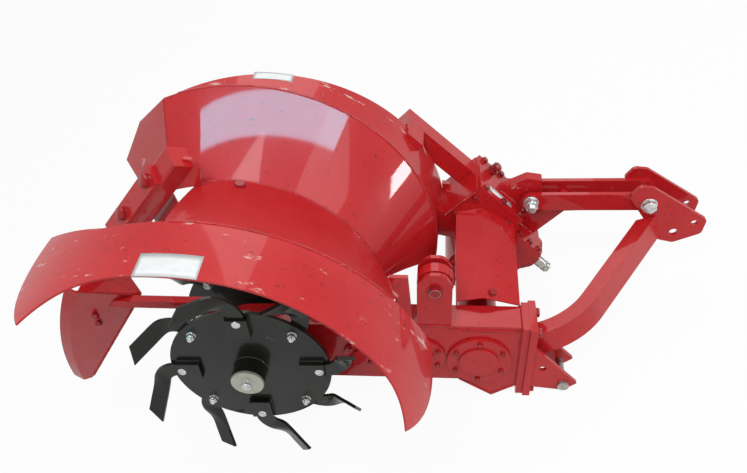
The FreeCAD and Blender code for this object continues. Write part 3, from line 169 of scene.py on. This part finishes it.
def painted(name, colour, faded, scuff, scuff_share, gloss, stretch=(1, 1, 1), edge_radius=0.0025):
    """Paint with slow fading, rubbed streaks, fine dirt, worn edges and orange peel."""
    made, nodes, links, shader = new_material(name)
    coords = nodes.new("ShaderNodeTexCoord").outputs["Object"]
    mapping = nodes.new("ShaderNodeMapping")
    mapping.inputs["Scale"].default_value = stretch
    links.new(coords, mapping.inputs["Vector"])
    slow = ramp(nodes, links, noise(nodes, links, 3.2, 4, 0.55, coords), 0.35, 0.68, BLACK, WHITE)
    base = blend(nodes, links, slow, colour, faded)
    streak = noise(nodes, links, 7.5, 9, 0.72, mapping.outputs["Vector"])
    rubbed = ramp(nodes, links, streak, scuff_share, scuff_share + 0.04, BLACK, WHITE)
    base = blend(nodes, links, rubbed, base, scuff)
    dirt = ramp(nodes, links, noise(nodes, links, 70, 6, 0.72, coords), 0.6, 0.68, WHITE, DIRT)
    base = blend(nodes, links, DIRT_STRENGTH, base, dirt, "MULTIPLY")
    normal, edge = soft_edges(nodes, links, edge_radius)
    chip = ramp(nodes, links, noise(nodes, links, 38, 8, 0.75, coords), 0.5, 0.55, BLACK, WHITE)
    worn = blend(nodes, links, 1.0, edge, chip, "MULTIPLY")
    base = blend(nodes, links, worn, base, RUST)
    links.new(base, shader.inputs["Base Color"])
    links.new(ramp(nodes, links, streak, 0.3, 0.75, (gloss,) * 3, (gloss + 0.25,) * 3),
              shader.inputs["Roughness"])
    shader.inputs["Coat Weight"].default_value = COAT
    shader.inputs["Coat Roughness"].default_value = COAT_ROUGH
    shader.inputs["Specular IOR Level"].default_value = PAINT_SPECULAR
    bump(nodes, links, shader, noise(nodes, links, 55, 3, 0.5, coords), 0.1, 0.002, normal)
    return made


def metal(name, colour, stain, rough, metallic=1.0, edge_radius=0.0008):
    """Bare or plated metal with stains and fine scratches."""
    made, nodes, links, shader = new_material(name)
    coords = nodes.new("ShaderNodeTexCoord").outputs["Object"]
    spots = ramp(nodes, links, noise(nodes, links, 45, 6, 0.7, coords), 0.5, 0.72, BLACK, WHITE)
    links.new(blend(nodes, links, spots, colour, stain), shader.inputs["Base Color"])
    links.new(ramp(nodes, links, noise(nodes, links, 120, 4, 0.6, coords), 0.3, 0.7,
                   (rough,) * 3, (rough + 0.2,) * 3), shader.inputs["Roughness"])
    shader.inputs["Metallic"].default_value = metallic
    normal, _ = soft_edges(nodes, links, edge_radius)
    bump(nodes, links, shader, noise(nodes, links, 200, 3, 0.5, coords), 0.1, 0.001, normal)
    return made


RED = painted("red_paint_worn", (0.47, 0.008, 0.011), (0.53, 0.019, 0.021), (0.6, 0.26, 0.22), 0.67, 0.26)
RED_BAND = painted("red_paint_scuffed", (0.48, 0.01, 0.013), (0.55, 0.026, 0.028), (0.66, 0.38, 0.33),
                   0.605, 0.24, (1.6, 5, 1.6))
RED_THICK = painted("red_paint_on_fasteners", (0.27, 0.008, 0.01), (0.4, 0.014, 0.016), RUST, 0.58, 0.34,
                    edge_radius=0.0006)
OLIVE_BLACK = painted("black_paint_worn", (0.011, 0.013, 0.01), (0.022, 0.025, 0.019),
                      (0.1, 0.105, 0.09), 0.665, 0.3)
STEEL = metal("bare_steel_worn", (0.42, 0.4, 0.37), (0.16, 0.11, 0.07), 0.3)
ZINC = metal("zinc_plated", (0.6, 0.61, 0.6), (0.26, 0.25, 0.22), 0.24)
CREAM = metal("washer_cream", (0.5, 0.51, 0.42), (0.36, 0.36, 0.28), 0.36, 0.35)
LABEL = metal("blank_label", (0.76, 0.76, 0.75), (0.68, 0.67, 0.64), 0.35, 0.0)
SLOT_FINISH = {"red_paint": RED, "black_paint": OLIVE_BLACK, "bare_steel": STEEL, "pale_washer": CREAM}
SCUFFED_NODES = ("hood_mouth_band", "hood_far_band")

for part in frame["record"]["subparts"]:
    mesh_object = NODES[part["node"]]
    finish = RED_BAND if part["node"] in SCUFFED_NODES else SLOT_FINISH[part["material_slot"]]
    mesh_object.data.materials.clear()
    mesh_object.data.materials.append(finish)


# ---- pieces of the scene ---------------------------------------------------------------------
SHARP = math.radians(35)


def add_piece(name, verts, faces, body, finish):
    mesh = bpy.data.meshes.new(name)
    mesh.from_pydata([tuple(v) for v in verts], [], faces)
    mesh.shade_smooth()
    mesh.set_sharp_from_angle(angle=SHARP)
    mesh.materials.append(finish)
    piece = bpy.data.objects.new(name, mesh)
    bpy.context.scene.collection.objects.link(piece)
    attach(piece, body)
    return piece


SIDES = 24
CHAMFER = 0.505
DOME_TOP = 0.96


def turned_rings(rings):
    """Local points of a form turned about Z; a ring is (radius, height, width across flats or None)."""
    points = []
    for radius, height, across in rings:
        for k in range(SIDES):
            angle = math.tau * k / SIDES
            reach = radius
            if across:
                off = (angle + math.pi / 6) % (math.pi / 3) - math.pi / 6
                reach = min(radius, across / 2 / math.cos(off))
            points.append(Vector((reach * math.cos(angle), reach * math.sin(angle), height)))
    return points


def fasteners(name, body, finish, rings, spots):
    """One piece that repeats a turned form at each (place, direction)."""
    local = turned_rings(rings)
    verts, faces = [], []
    for place, direction in spots:
        first = len(verts)
        turn = direction.to_track_quat("Z", "Y")
        verts += [place + (turn @ point) / 1000 for point in local]
        for r in range(len(rings) - 1):
            low = first + r * SIDES
            for k in range(SIDES):
                after = (k + 1) % SIDES
                faces.append((low + k, low + after, low + SIDES + after, low + SIDES + k))
        top = first + (len(rings) - 1) * SIDES
        faces.append(tuple(range(top, top + SIDES)))
        faces.append(tuple(range(first + SIDES - 1, first - 1, -1)))
    return add_piece(name, verts, faces, body, finish)


WASHER_SHARE, NUT_SHARE, HEAD_SHARE, STUB_SHARE = 0.64, 0.52, 0.42, 0.33
WASHER_THICK = 2.3


def washer_rings(across):
    outer = across * WASHER_SHARE
    return [(outer, 0, None), (outer, 1.8, None), (outer - 0.5, WASHER_THICK, None)]


def hex_rings(across, low, high):
    return [(across * CHAMFER, low, across), (across, low + 0.7, across), (across, high - 1.1, across),
            (across * CHAMFER * 0.97, high, across)]


def stub_rings(radius, low, high, pitch=2):
    """Threaded end from low to high."""
    rings = [(radius * 0.9, low, None)]
    count = max(1, int((high - low) / pitch))
    for k in range(count):
        rings += [(radius, low + (k + 0.45) * pitch, None), (radius * 0.9, low + (k + 0.95) * pitch, None)]
    return rings + [(radius * 0.82, low + count * pitch + 0.6, None)]


def nut_rings(across, stub):
    """Washer, nut and threaded end."""
    top = WASHER_THICK + across * NUT_SHARE
    return (washer_rings(across) + hex_rings(across, WASHER_THICK, top)
            + stub_rings(across * STUB_SHARE, top, top + stub))


def head_rings(across):
    """Washer and hexagon head."""
    return washer_rings(across) + hex_rings(across, WASHER_THICK, WASHER_THICK + across * HEAD_SHARE)


def dome_rings(radius, depth):
    steps = 6
    turns = [math.pi / 2 * k / steps for k in range(steps + 1)]
    return [(radius * math.cos(turn * DOME_TOP), depth * math.sin(turn), None) for turn in turns]


def ring_spots(count, start, place, direction):
    """Spots at even angles from start; place turns an angle in degrees into a point."""
    return [(place(start + 360 / count * k), direction) for k in range(count)]


def on_case(x, z, radius, y):
    return lambda angle: case_point(x + radius * math.cos(math.radians(angle)), y,
                                    z + radius * math.sin(math.radians(angle)))


NEAR, FAR = case_dir(0, -1, 0), case_dir(0, 1, 0)
AHEAD = case_dir(1, 0, 0)
FORE, RISE = machine_dir(1, 0, 0), machine_dir(0, 0, 1)


def red_bolts(name, rings, spots):
    """Fasteners of the frame that were painted over with it."""
    return fasteners(name, "frame", RED_THICK, rings, spots)


def plated(name, body, rings, spots):
    """Zinc plated fasteners that were fitted after painting."""
    return fasteners(name, body, ZINC, rings, spots)


# Rotor: nuts on the plain disc faces, domed heads in the sockets, nuts on the inner faces.
DISC_BOLT, END_BOLT = 21, 27
HALF_COUNT = TINE_COUNT // 2
PLAIN_PHASE = TINE_PHASE + 360 / TINE_COUNT


def on_disc(start, face, direction):
    """Spots on every other tine's place round the rotor."""
    return ring_spots(HALF_COUNT, start, on_case(0, 0, TINE_CIRCLE, face), direction)


for label, side, outward, inward in (("near", -1, NEAR, FAR), ("far", 1, FAR, NEAR)):
    plated("disc_nuts_" + label, "rotor", nut_rings(DISC_BOLT, 9),
           on_disc(PLAIN_PHASE, side * DISC_FACE, outward))
    plated("socket_heads_" + label, "rotor", dome_rings(13, 5),
           on_disc(TINE_PHASE, side * SOCKET_FACE, outward))
    plated("tine_heads_" + label, "rotor", head_rings(DISC_BOLT),
           on_disc(PLAIN_PHASE, side * TINE_BACK, inward))
    plated("socket_nuts_" + label, "rotor", nut_rings(DISC_BOLT, 7),
           on_disc(TINE_PHASE, side * DISC_BACK, inward))
    plated("end_bolt_" + label, "rotor", head_rings(END_BOLT),
           [(case_point(0, side * WASHER_FACE, 0), outward)])

# Gear case: cover bolts, pipe flange bolts and hitch plate bolts.
COVER_BOLT, PIPE_BOLT, PLATE_BOLT, CLEVIS_BOLT, GUARD_BOLT = 13, 15, 24, 26, 19
DRIVE_CIRCLE, PIPE_CIRCLE = 76, 75
IDLER_X, IDLER_Z, IDLER_CIRCLE = 485, -5, 58
SMALL_X, SMALL_CIRCLE = 313, 39
PIPE_NEAR_FACE, PIPE_FAR_FACE = 54, HITCH_Y - BOX_HALF - 14
PLATE_BOLT_Y, PLATE_BOLTS_Z = 38, (104, -137)
CLEVIS_X, CLEVIS_NEAR, CLEVIS_FAR, CLEVIS_Z = 836, 40, 52, -36
PIVOT_X, PIVOT_Z, PIVOT_CAP, PIVOT_RIM = 524, 264, 22, 15.6
CONE_BOLT_ANGLE, CONE_BOLT_Y, CONE_BOLT_HEIGHT = 83, -3, 22
red_bolts("drive_cover_bolts", head_rings(COVER_BOLT),
          ring_spots(6, 30, on_case(TUBE_X, TUBE_Z, DRIVE_CIRCLE, COVER_FACE), NEAR))
red_bolts("idler_cover_bolts", head_rings(COVER_BOLT),
          ring_spots(6, 30, on_case(IDLER_X, IDLER_Z, IDLER_CIRCLE, COVER_FACE), NEAR)
          + ring_spots(6, 30, on_case(IDLER_X, IDLER_Z, IDLER_CIRCLE, -COVER_FACE), FAR))
red_bolts("small_cover_bolts", head_rings(COVER_BOLT),
          ring_spots(4, 45, on_case(SMALL_X, 0, SMALL_CIRCLE, COVER_FACE), NEAR)
          + ring_spots(4, 45, on_case(SMALL_X, 0, SMALL_CIRCLE, -COVER_FACE), FAR))
red_bolts("pipe_flange_bolts", head_rings(PIPE_BOLT),
          ring_spots(8, 22.5, on_case(TUBE_X, TUBE_Z, PIPE_CIRCLE, PIPE_NEAR_FACE), FAR)
          + ring_spots(8, 22.5, on_case(TUBE_X, TUBE_Z, PIPE_CIRCLE, PIPE_FAR_FACE), NEAR))
red_bolts("hitch_plate_bolts", head_rings(PLATE_BOLT),
          [(case_point(PLATE_FRONT, side * PLATE_BOLT_Y, z), AHEAD)
           for side in (-1, 1) for z in PLATE_BOLTS_Z])
plated("clevis_nut", "frame", nut_rings(CLEVIS_BOLT, 12),
       [(case_point(CLEVIS_X, CLEVIS_NEAR, CLEVIS_Z), NEAR)])
plated("clevis_head", "frame", head_rings(CLEVIS_BOLT),
       [(case_point(CLEVIS_X, CLEVIS_FAR, CLEVIS_Z), FAR)])
red_bolts("guard_bolt", head_rings(GUARD_BOLT), [(case_point(685, 60, 157), case_dir(0.24, -0.28, 0.93))])
red_bolts("pin_caps", [(PIVOT_CAP, 0, None), (PIVOT_CAP, 2, None), (PIVOT_RIM, 2.5, None),
                       (PIVOT_RIM, 13, None), (13, 15, None)],
          [(case_point(PIVOT_X, side * CASE_HALF, PIVOT_Z), NEAR if side < 0 else FAR) for side in (-1, 1)])
red_bolts("cone_bolt", head_rings(24),
          [(hood_point(CONE_BOLT_ANGLE, CONE_BOLT_Y, WAIST_R + HOOD_SHEET + CONE_BOLT_HEIGHT),
            hood_point(CONE_BOLT_ANGLE, 0, 1100) - hood_point(CONE_BOLT_ANGLE, 0, 100))])

# Gearbox: lid bolts, front row, bearing cap bolts and breather.
LID_BOLT, NOSE_BOLT, CAP_BOLT, SIDE_BOLT = 19, 17, 12, 17
LID_BOLTS_F, LID_BOLT_Y = (262, 338, 412), 68
NOSE_BOLTS_F, NOSE_BOLT_Y = (474, 520, 560), 66
BREATHER_F, BREATHER_Y, BREATHER_HEX = 290, 36, 32
CAP_CIRCLE = 53.5
SIDE_BOLTS = ((262, 566), (262, 650), (402, 650))
red_bolts("lid_bolts", head_rings(LID_BOLT),
          [(machine_point(f, HITCH_Y + side * LID_BOLT_Y, LID_TOP), RISE)
           for f in LID_BOLTS_F for side in (-1, 1)])
red_bolts("nose_bolts", head_rings(NOSE_BOLT),
          [(machine_point(f, HITCH_Y + side * NOSE_BOLT_Y, NOSE_TOP), RISE)
           for f in NOSE_BOLTS_F for side in (-1, 1)])
red_bolts("breather",
          [(13, 0, None), (13, 8, None), (19, 8, BREATHER_HEX), (19, 17, BREATHER_HEX), (9, 18, None),
           (9, 24, None), (15, 24, None), (15, 33, None), (11, 37, None)],
          [(machine_point(BREATHER_F, HITCH_Y + BREATHER_Y, LID_TOP), RISE)])


def on_cap(angle):
    turned = math.radians(angle)
    return machine_point(CAP_FACE, HITCH_Y + CAP_CIRCLE * math.cos(turned),
                         INPUT_U + CAP_CIRCLE * math.sin(turned))


red_bolts("cap_bolts", head_rings(CAP_BOLT), ring_spots(6, 0, on_cap, FORE))
red_bolts("side_cover_bolts", head_rings(SIDE_BOLT),
          [(machine_point(f, HITCH_Y - BOX_HALF, u), NEAR) for f, u in SIDE_BOLTS])

# Brace and top hitch: plated nuts and heads over the through bolts.
BRACE_BOLT, TOP_HEAD = 37, 38
LUG_BOLT_F, LUG_BOLT_U, LUG_NUT_Y, LUG_FAR_Y = 418, 735, 371, HITCH_Y + 41.5
TOP_BOLT_F, TOP_BOLT_U, TOP_OUT = 663, 983, 53.5
plated("lug_nut", "frame", nut_rings(BRACE_BOLT, 16),
       [(machine_point(LUG_BOLT_F, LUG_NUT_Y, LUG_BOLT_U), NEAR)])
plated("top_head", "frame", head_rings(TOP_HEAD),
       [(machine_point(TOP_BOLT_F, HITCH_Y - TOP_OUT, TOP_BOLT_U), NEAR)])
plated("far_nuts", "frame", nut_rings(BRACE_BOLT, 14),
       [(machine_point(LUG_BOLT_F, LUG_FAR_Y, LUG_BOLT_U), FAR),
        (machine_point(TOP_BOLT_F, HITCH_Y + TOP_OUT, TOP_BOLT_U), FAR)])

# Scraper: strap bolts and leaf bolts.
STRAP_BOLT, STRAP_BOLTS_UP, STRAP_THICK = 30, (398, 262), 12
LEAF_BOLT, LEAF_BOLTS = 19, ((-391, -43, -230), (-415, -59, -190))
LEAF_NORMAL = machine_dir(-0.531, -0.841, -0.1)
strap_out = arm_point(-1000, 0, 0) - arm_point(0, 0, 0)
red_bolts("strap_bolts", head_rings(STRAP_BOLT),
          [(arm_point(-ARM_HALF - STRAP_THICK, 0, z), strap_out) for z in STRAP_BOLTS_UP])
red_bolts("leaf_bolts", head_rings(LEAF_BOLT), [(machine_point(*place), LEAF_NORMAL) for place in LEAF_BOLTS])

# ---- weld beads ------------------------------------------------------------------------------
RIPPLE = 5.0
BEAD_SIDES = 6


def bead_rings(path, radius, chance):
    """Rippled tube along world points; returns its vertices and faces."""
    step = RIPPLE / 3000
    points = [path[0]]
    for a, b in zip(path, path[1:]):
        count = max(1, round((b - a).length / step))
        points += [a.lerp(b, (k + 1) / count) for k in range(count)]
    verts, faces = [], []
    across = (points[1] - points[0]).orthogonal().normalized()
    for i, point in enumerate(points):
        along = (points[min(i + 1, len(points) - 1)] - points[max(i - 1, 0)]).normalized()
        across = (across - along * across.dot(along)).normalized()
        beside = along.cross(across)
        wave = 1 + 0.2 * math.sin(math.tau * i / 3) + chance.uniform(-0.1, 0.1)
        for k in range(BEAD_SIDES):
            angle = math.tau * k / BEAD_SIDES
            verts.append(point + (across * math.cos(angle) + beside * math.sin(angle)) * radius * wave / 1000)
    for i in range(len(points) - 1):
        for k in range(BEAD_SIDES):
            a, b = i * BEAD_SIDES + k, i * BEAD_SIDES + (k + 1) % BEAD_SIDES
            faces.append((a, b, b + BEAD_SIDES, a + BEAD_SIDES))
    last = (len(points) - 1) * BEAD_SIDES
    faces += [tuple(range(BEAD_SIDES - 1, -1, -1)), tuple(range(last, last + BEAD_SIDES))]
    return verts, faces


def welds(name, body, finish, radius, paths):
    chance = random.Random(name)
    verts, faces = [], []
    for path in paths:
        more, joined = bead_rings(path, radius, chance)
        faces += [tuple(i + len(verts) for i in face) for face in joined]
        verts += more
    return add_piece(name, verts, faces, body, finish)


def hood_run(start, end, y, radius):
    """Run round the hood in 2 degree steps."""
    count = round((end - start) / 2)
    return [hood_point(start + (end - start) * k / count, y, radius) for k in range(count + 1)]


def case_run(*corners):
    return [case_point(*corner) for corner in corners]


def machine_run(*corners):
    return [machine_point(*corner) for corner in corners]


hood_paths = [hood_run(10, 99, WAIST_Y, WAIST_R + HOOD_SHEET),
              hood_run(39, 91, MOUTH_Y, MOUTH_R + HOOD_SHEET),
              hood_run(-8, 107, RIM_Y, RIM_R + HOOD_SHEET)]
welds("hood_welds", "frame", RED, 2.8, hood_paths)
BEAD_OUT = 41
PIVOT_FOOT, HOOD_LUG_FOOT, EYE_FOOT = (475, 570), (404, 464), (486, 562)
lug_runs = [(PIVOT_FOOT, y) for y in (-BEAD_OUT, -27, 27, BEAD_OUT)]
lug_runs += [(HOOD_LUG_FOOT, y) for y in (-BEAD_OUT, -27)] + [(EYE_FOOT, y) for y in (-17, 17)]
lug_paths = [case_run((rear, y, CASE_ROOF), (front, y, CASE_ROOF)) for (rear, front), y in lug_runs]
FLANGE_LOW, FLANGE_HIGH = -120, 126
flange_paths = [case_run((CASE_FRONT, -BEAD_OUT, FLANGE_LOW), (CASE_FRONT, -BEAD_OUT, FLANGE_HIGH),
                         (CASE_FRONT, BEAD_OUT, FLANGE_HIGH), (CASE_FRONT, BEAD_OUT, FLANGE_LOW)),
                case_run((600, -CASE_HALF, -106), (697, -CASE_HALF, -174), (766, -CASE_HALF, -126)),
                case_run((570, -40.5, 110), (764, -40.5, 110))]
LEG_NEAR, LEG_FAR, LEG_LOW, LEG_HIGH = -12, 33, -24, 65
leg_paths = [case_run((PLATE_FRONT, LEG_NEAR, LEG_LOW), (PLATE_FRONT, LEG_NEAR, LEG_HIGH),
                      (PLATE_FRONT, LEG_FAR, LEG_HIGH), (PLATE_FRONT, LEG_FAR, LEG_LOW),
                      (PLATE_FRONT, LEG_NEAR, LEG_LOW))]
EAR_LOW, EAR_HIGH = -108, 48
ear_paths = [case_run((PLATE_FRONT, y, EAR_LOW), (PLATE_FRONT, y, EAR_HIGH)) for y in (-53, -39, 39, 53)]
welds("case_welds", "frame", RED, 3.6, lug_paths + flange_paths + leg_paths + ear_paths)
LUG_REAR, LUG_FRONT, LUG_SIDE = 332, 428, 17
WEB_REAR, WEB_FRONT, WEB_SIDE = 458, 542, 8
CAP_SIDE = 60
gear_paths = [machine_run((244, HITCH_Y - 81.5, 540), (244, HITCH_Y - 81.5, 672))]
for rear, front, off, height in ((LUG_REAR, LUG_FRONT, LUG_SIDE, LID_TOP),
                                 (WEB_REAR, WEB_FRONT, WEB_SIDE, NOSE_TOP)):
    gear_paths += [machine_run((rear, HITCH_Y + side * off, height), (front, HITCH_Y + side * off, height))
                   for side in (-1, 1)]
gear_paths.append(machine_run((CAP_FACE - 25, HITCH_Y - CAP_SIDE, INPUT_U - 8),
                              (CAP_FACE - 25, HITCH_Y - CAP_SIDE, INPUT_U + 8)))
welds("gearbox_welds", "frame", RED, 3.4, gear_paths)
FOOT_HALF, FOOT_UP = 31, 4
STRAP_LOW, STRAP_HIGH = 176, 420
foot = [arm_point(x * FOOT_HALF, y * FOOT_HALF, FOOT_UP)
        for x, y in ((-1, -1), (1, -1), (1, 1), (-1, 1), (-1, -1))]
strap_edges = [[arm_point(-ARM_HALF, side * ARM_HALF, z) for z in (STRAP_LOW, STRAP_HIGH)]
               for side in (-1, 1)]
leaf_seam = [machine_run((-350, 0, -94), (-266, 0, -536)), machine_run((-352, -2, -88), (-510, -103, -88)),
             machine_run((-352, 2, -88), (-510, 103, -88))]
welds("scraper_welds", "frame", RED, 3.4, [foot] + strap_edges + leaf_seam)


def disc_welds(side):
    """Beads along both sides of each socket and round the hub, on one disc."""
    y = side * DISC_FACE
    paths = []
    for k in range(HALF_COUNT):
        turned = math.radians(TINE_PHASE + 360 / HALF_COUNT * k)
        for edge in (-SOCKET_HALF, SOCKET_HALF):
            paths.append([case_point(r * math.cos(turned) - edge * math.sin(turned), y,
                                     r * math.sin(turned) + edge * math.cos(turned))
                          for r in (SOCKET_START, SOCKET_END)])
    circle = on_case(0, 0, HUB_RADIUS + 1, y)
    return paths + [[circle(a) for a in range(0, 361, 6)]]


welds("rotor_welds_near", "rotor", OLIVE_BLACK, 3.4, disc_welds(-1))
welds("rotor_welds_far", "rotor", OLIVE_BLACK, 3.4, disc_welds(1))

# ---- blank labels ----------------------------------------------------------------------------
LABEL_PROUD, LABEL_THICK = 0.5, 0.3


def label_sheet(name, place, columns, rows):
    """Blank label on a grid of points; place(u, v) gives a point for shares 0 to 1 of its sides."""
    verts = [place(i / columns, j / rows) for j in range(rows + 1) for i in range(columns + 1)]
    across = columns + 1
    faces = [(j * across + i, j * across + i + 1, (j + 1) * across + i + 1, (j + 1) * across + i)
             for j in range(rows) for i in range(columns)]
    piece = add_piece(name, verts, faces, "frame", LABEL)
    thick = piece.modifiers.new("thickness", "SOLIDIFY")
    thick.thickness = LABEL_THICK / 1000
    thick.offset = 0


BAND_ANGLE, BAND_ARC, BAND_Y, BAND_DEPTH = 94, 12.8, -407, 64
RIM_ANGLE, RIM_ARC, RIM_LABEL_Y, RIM_SKEW, RIM_DEPTH = 85.5, 11, 300, 13, 30
LID_F, LID_LENGTH, LID_Y, LID_DEPTH = 283, 94, HITCH_Y - 62, 24


def band_label(u, v):
    return hood_point(BAND_ANGLE - BAND_ARC * u, BAND_Y - BAND_DEPTH * v, MOUTH_R + HOOD_SHEET + LABEL_PROUD)


def rim_label(u, v):
    y = RIM_LABEL_Y + RIM_SKEW * u + RIM_DEPTH * v
    return hood_point(RIM_ANGLE - RIM_ARC * u, y, RIM_R + HOOD_SHEET + LABEL_PROUD + RIM_FLARE * (y - RIM_Y))


def lid_label(u, v):
    return machine_point(LID_F + LID_LENGTH * u, LID_Y + LID_DEPTH * v, LID_TOP + LABEL_PROUD)


label_sheet("band_label", band_label, 16, 4)
label_sheet("rim_label", rim_label, 12, 4)
label_sheet("lid_label", lid_label, 2, 2)

# ---- camera ----------------------------------------------------------------------------------
EYE = case_point(518, -1445, 1708)
EYE_AZIMUTH, EYE_ELEVATION, EYE_ROLL = (math.radians(a) for a in (6.12, 41.6, 3.14))
SENSOR = 36.0
FOCAL_RATIO = 1.00937

look = case_dir(-math.sin(EYE_AZIMUTH) * math.cos(EYE_ELEVATION),
                math.cos(EYE_AZIMUTH) * math.cos(EYE_ELEVATION), -math.sin(EYE_ELEVATION))
level = case_dir(math.cos(EYE_AZIMUTH), math.sin(EYE_AZIMUTH), 0)
down = look.cross(level)
right_axis = math.cos(EYE_ROLL) * level + math.sin(EYE_ROLL) * down
down_axis = -math.sin(EYE_ROLL) * level + math.cos(EYE_ROLL) * down
camera_data = bpy.data.cameras.new("camera")
camera_data.sensor_width = SENSOR
camera_data.lens = SENSOR * FOCAL_RATIO
camera = bpy.data.objects.new("camera", camera_data)
bpy.context.scene.collection.objects.link(camera)
turn = Matrix((right_axis, -down_axis, -look)).transposed()
camera.matrix_world = Matrix.Translation(EYE) @ turn.to_4x4()
bpy.context.scene.camera = camera


# ---- floor, world and lamps ------------------------------------------------------------------
def seen_directly(nodes, links):
    """Is 1 for camera, glossy and transmission rays."""
    path = nodes.new("ShaderNodeLightPath")
    chosen = path.outputs["Is Camera Ray"]
    for kind in ("Is Glossy Ray", "Is Transmission Ray"):
        made = nodes.new("ShaderNodeMath")
        made.operation = "MAXIMUM"
        links.new(chosen, made.inputs[0])
        links.new(path.outputs[kind], made.inputs[1])
        chosen = made.outputs[0]
    return chosen


def mix_shaders(nodes, links, factor, first, second, output):
    made = nodes.new("ShaderNodeMixShader")
    links.new(factor, made.inputs["Fac"])
    links.new(first, made.inputs[1])
    links.new(second, made.inputs[2])
    links.new(made.outputs[0], output)


WORLD_STRENGTH = 0.34
world = bpy.data.worlds.new("studio")
bpy.context.scene.world = world
world.use_nodes = True
nodes, links = world.node_tree.nodes, world.node_tree.links
dim = nodes["Background"]
dim.inputs["Color"].default_value = (0.9, 0.95, 1, 1)
dim.inputs["Strength"].default_value = WORLD_STRENGTH
white = nodes.new("ShaderNodeBackground")
white.inputs["Color"].default_value = (1, 1, 1, 1)
mix_shaders(nodes, links, seen_directly(nodes, links), dim.outputs[0], white.outputs[0],
            nodes["World Output"].inputs["Surface"])

REACH = 60
FLOOR_WHITE_SHARE = 0.94
floor_mesh = bpy.data.meshes.new("floor")
floor_mesh.from_pydata([(-REACH, -REACH, 0), (REACH, -REACH, 0), (REACH, REACH, 0), (-REACH, REACH, 0)],
                       [], [(0, 1, 2, 3)])
floor = bpy.data.objects.new("floor", floor_mesh)
bpy.context.scene.collection.objects.link(floor)
floor_finish, nodes, links, shader = new_material("floor_pale")
shader.inputs["Base Color"].default_value = (0.86, 0.86, 0.86, 1)
shader.inputs["Roughness"].default_value = 0.9
shader.inputs["Specular IOR Level"].default_value = 0.1
glow = nodes.new("ShaderNodeEmission")
share = nodes.new("ShaderNodeMath")
share.operation = "MULTIPLY"
share.inputs[1].default_value = FLOOR_WHITE_SHARE
links.new(seen_directly(nodes, links), share.inputs[0])
mix_shaders(nodes, links, share.outputs[0], shader.outputs[0], glow.outputs[0],
            nodes["Material Output"].inputs["Surface"])
floor_mesh.materials.append(floor_finish)


def area_light(name, place, turn, size, power, colour=(1, 1, 1)):
    data = bpy.data.lights.new(name, "AREA")
    data.shape = "RECTANGLE"
    data.size, data.size_y = size
    data.energy = power
    data.color = colour
    lamp = bpy.data.objects.new(name, data)
    lamp.matrix_world = Matrix.Translation(place) @ turn.to_4x4()
    lamp.visible_camera = False
    bpy.context.scene.collection.objects.link(lamp)
    return lamp


def studio_light(name, place, size, power, colour=(1, 1, 1)):
    """Soft lamp turned towards the middle of the object."""
    place = Vector(place)
    turn = (Vector((0, 0, 0.5)) - place).to_track_quat("-Z", "Y").to_matrix()
    area_light(name, place, turn, (size, size), power, colour)


studio_light("key", (0.4, -1.8, 4.4), 2.0, 91)
studio_light("fill", (3.4, -1.6, 2.6), 2.5, 58, (0.96, 0.98, 1))
studio_light("back", (0.8, 3.6, 3.4), 2.5, 45)
REFLECTED_AT = 2.6
WINDOW_Y = 214


def window(name, angle, y, low, high, size, power, colour):
    """Lamp that only shows as a reflection in the hood's gloss at this angle and y.

    low and high are the (y, radius) ends of the cone; size is (round the hood, along the cone).
    """
    slope = (high[1] - low[1]) / (high[0] - low[0])
    turned = math.radians(angle)
    spot = hood_point(angle, y, low[1] + slope * (y - low[0]))
    normal = case_dir(math.cos(turned), -slope, math.sin(turned)).normalized()
    ray = (spot - EYE).normalized()
    away = ray - 2 * ray.dot(normal) * normal
    round_hood = case_dir(-math.sin(turned), 0, math.cos(turned))
    round_hood = (round_hood - away * away.dot(round_hood)).normalized()
    turn = Matrix((round_hood, away.cross(round_hood), away)).transposed()
    lamp = area_light(name, spot + away * REFLECTED_AT, turn, size, power, colour)
    lamp.visible_diffuse = False


FAR_CONE = ((WAIST_Y, WAIST_R), (RIM_Y, RIM_R))
window("window_wide", 78, WINDOW_Y, *FAR_CONE, (4.6, 0.28), 112, (0.1, 0.72, 0.95))
window("window_right", 30, WINDOW_Y, *FAR_CONE, (0.8, 0.22), 24, (0.95, 0.97, 1))

bpy.context.scene.view_settings.view_transform = "Standard"
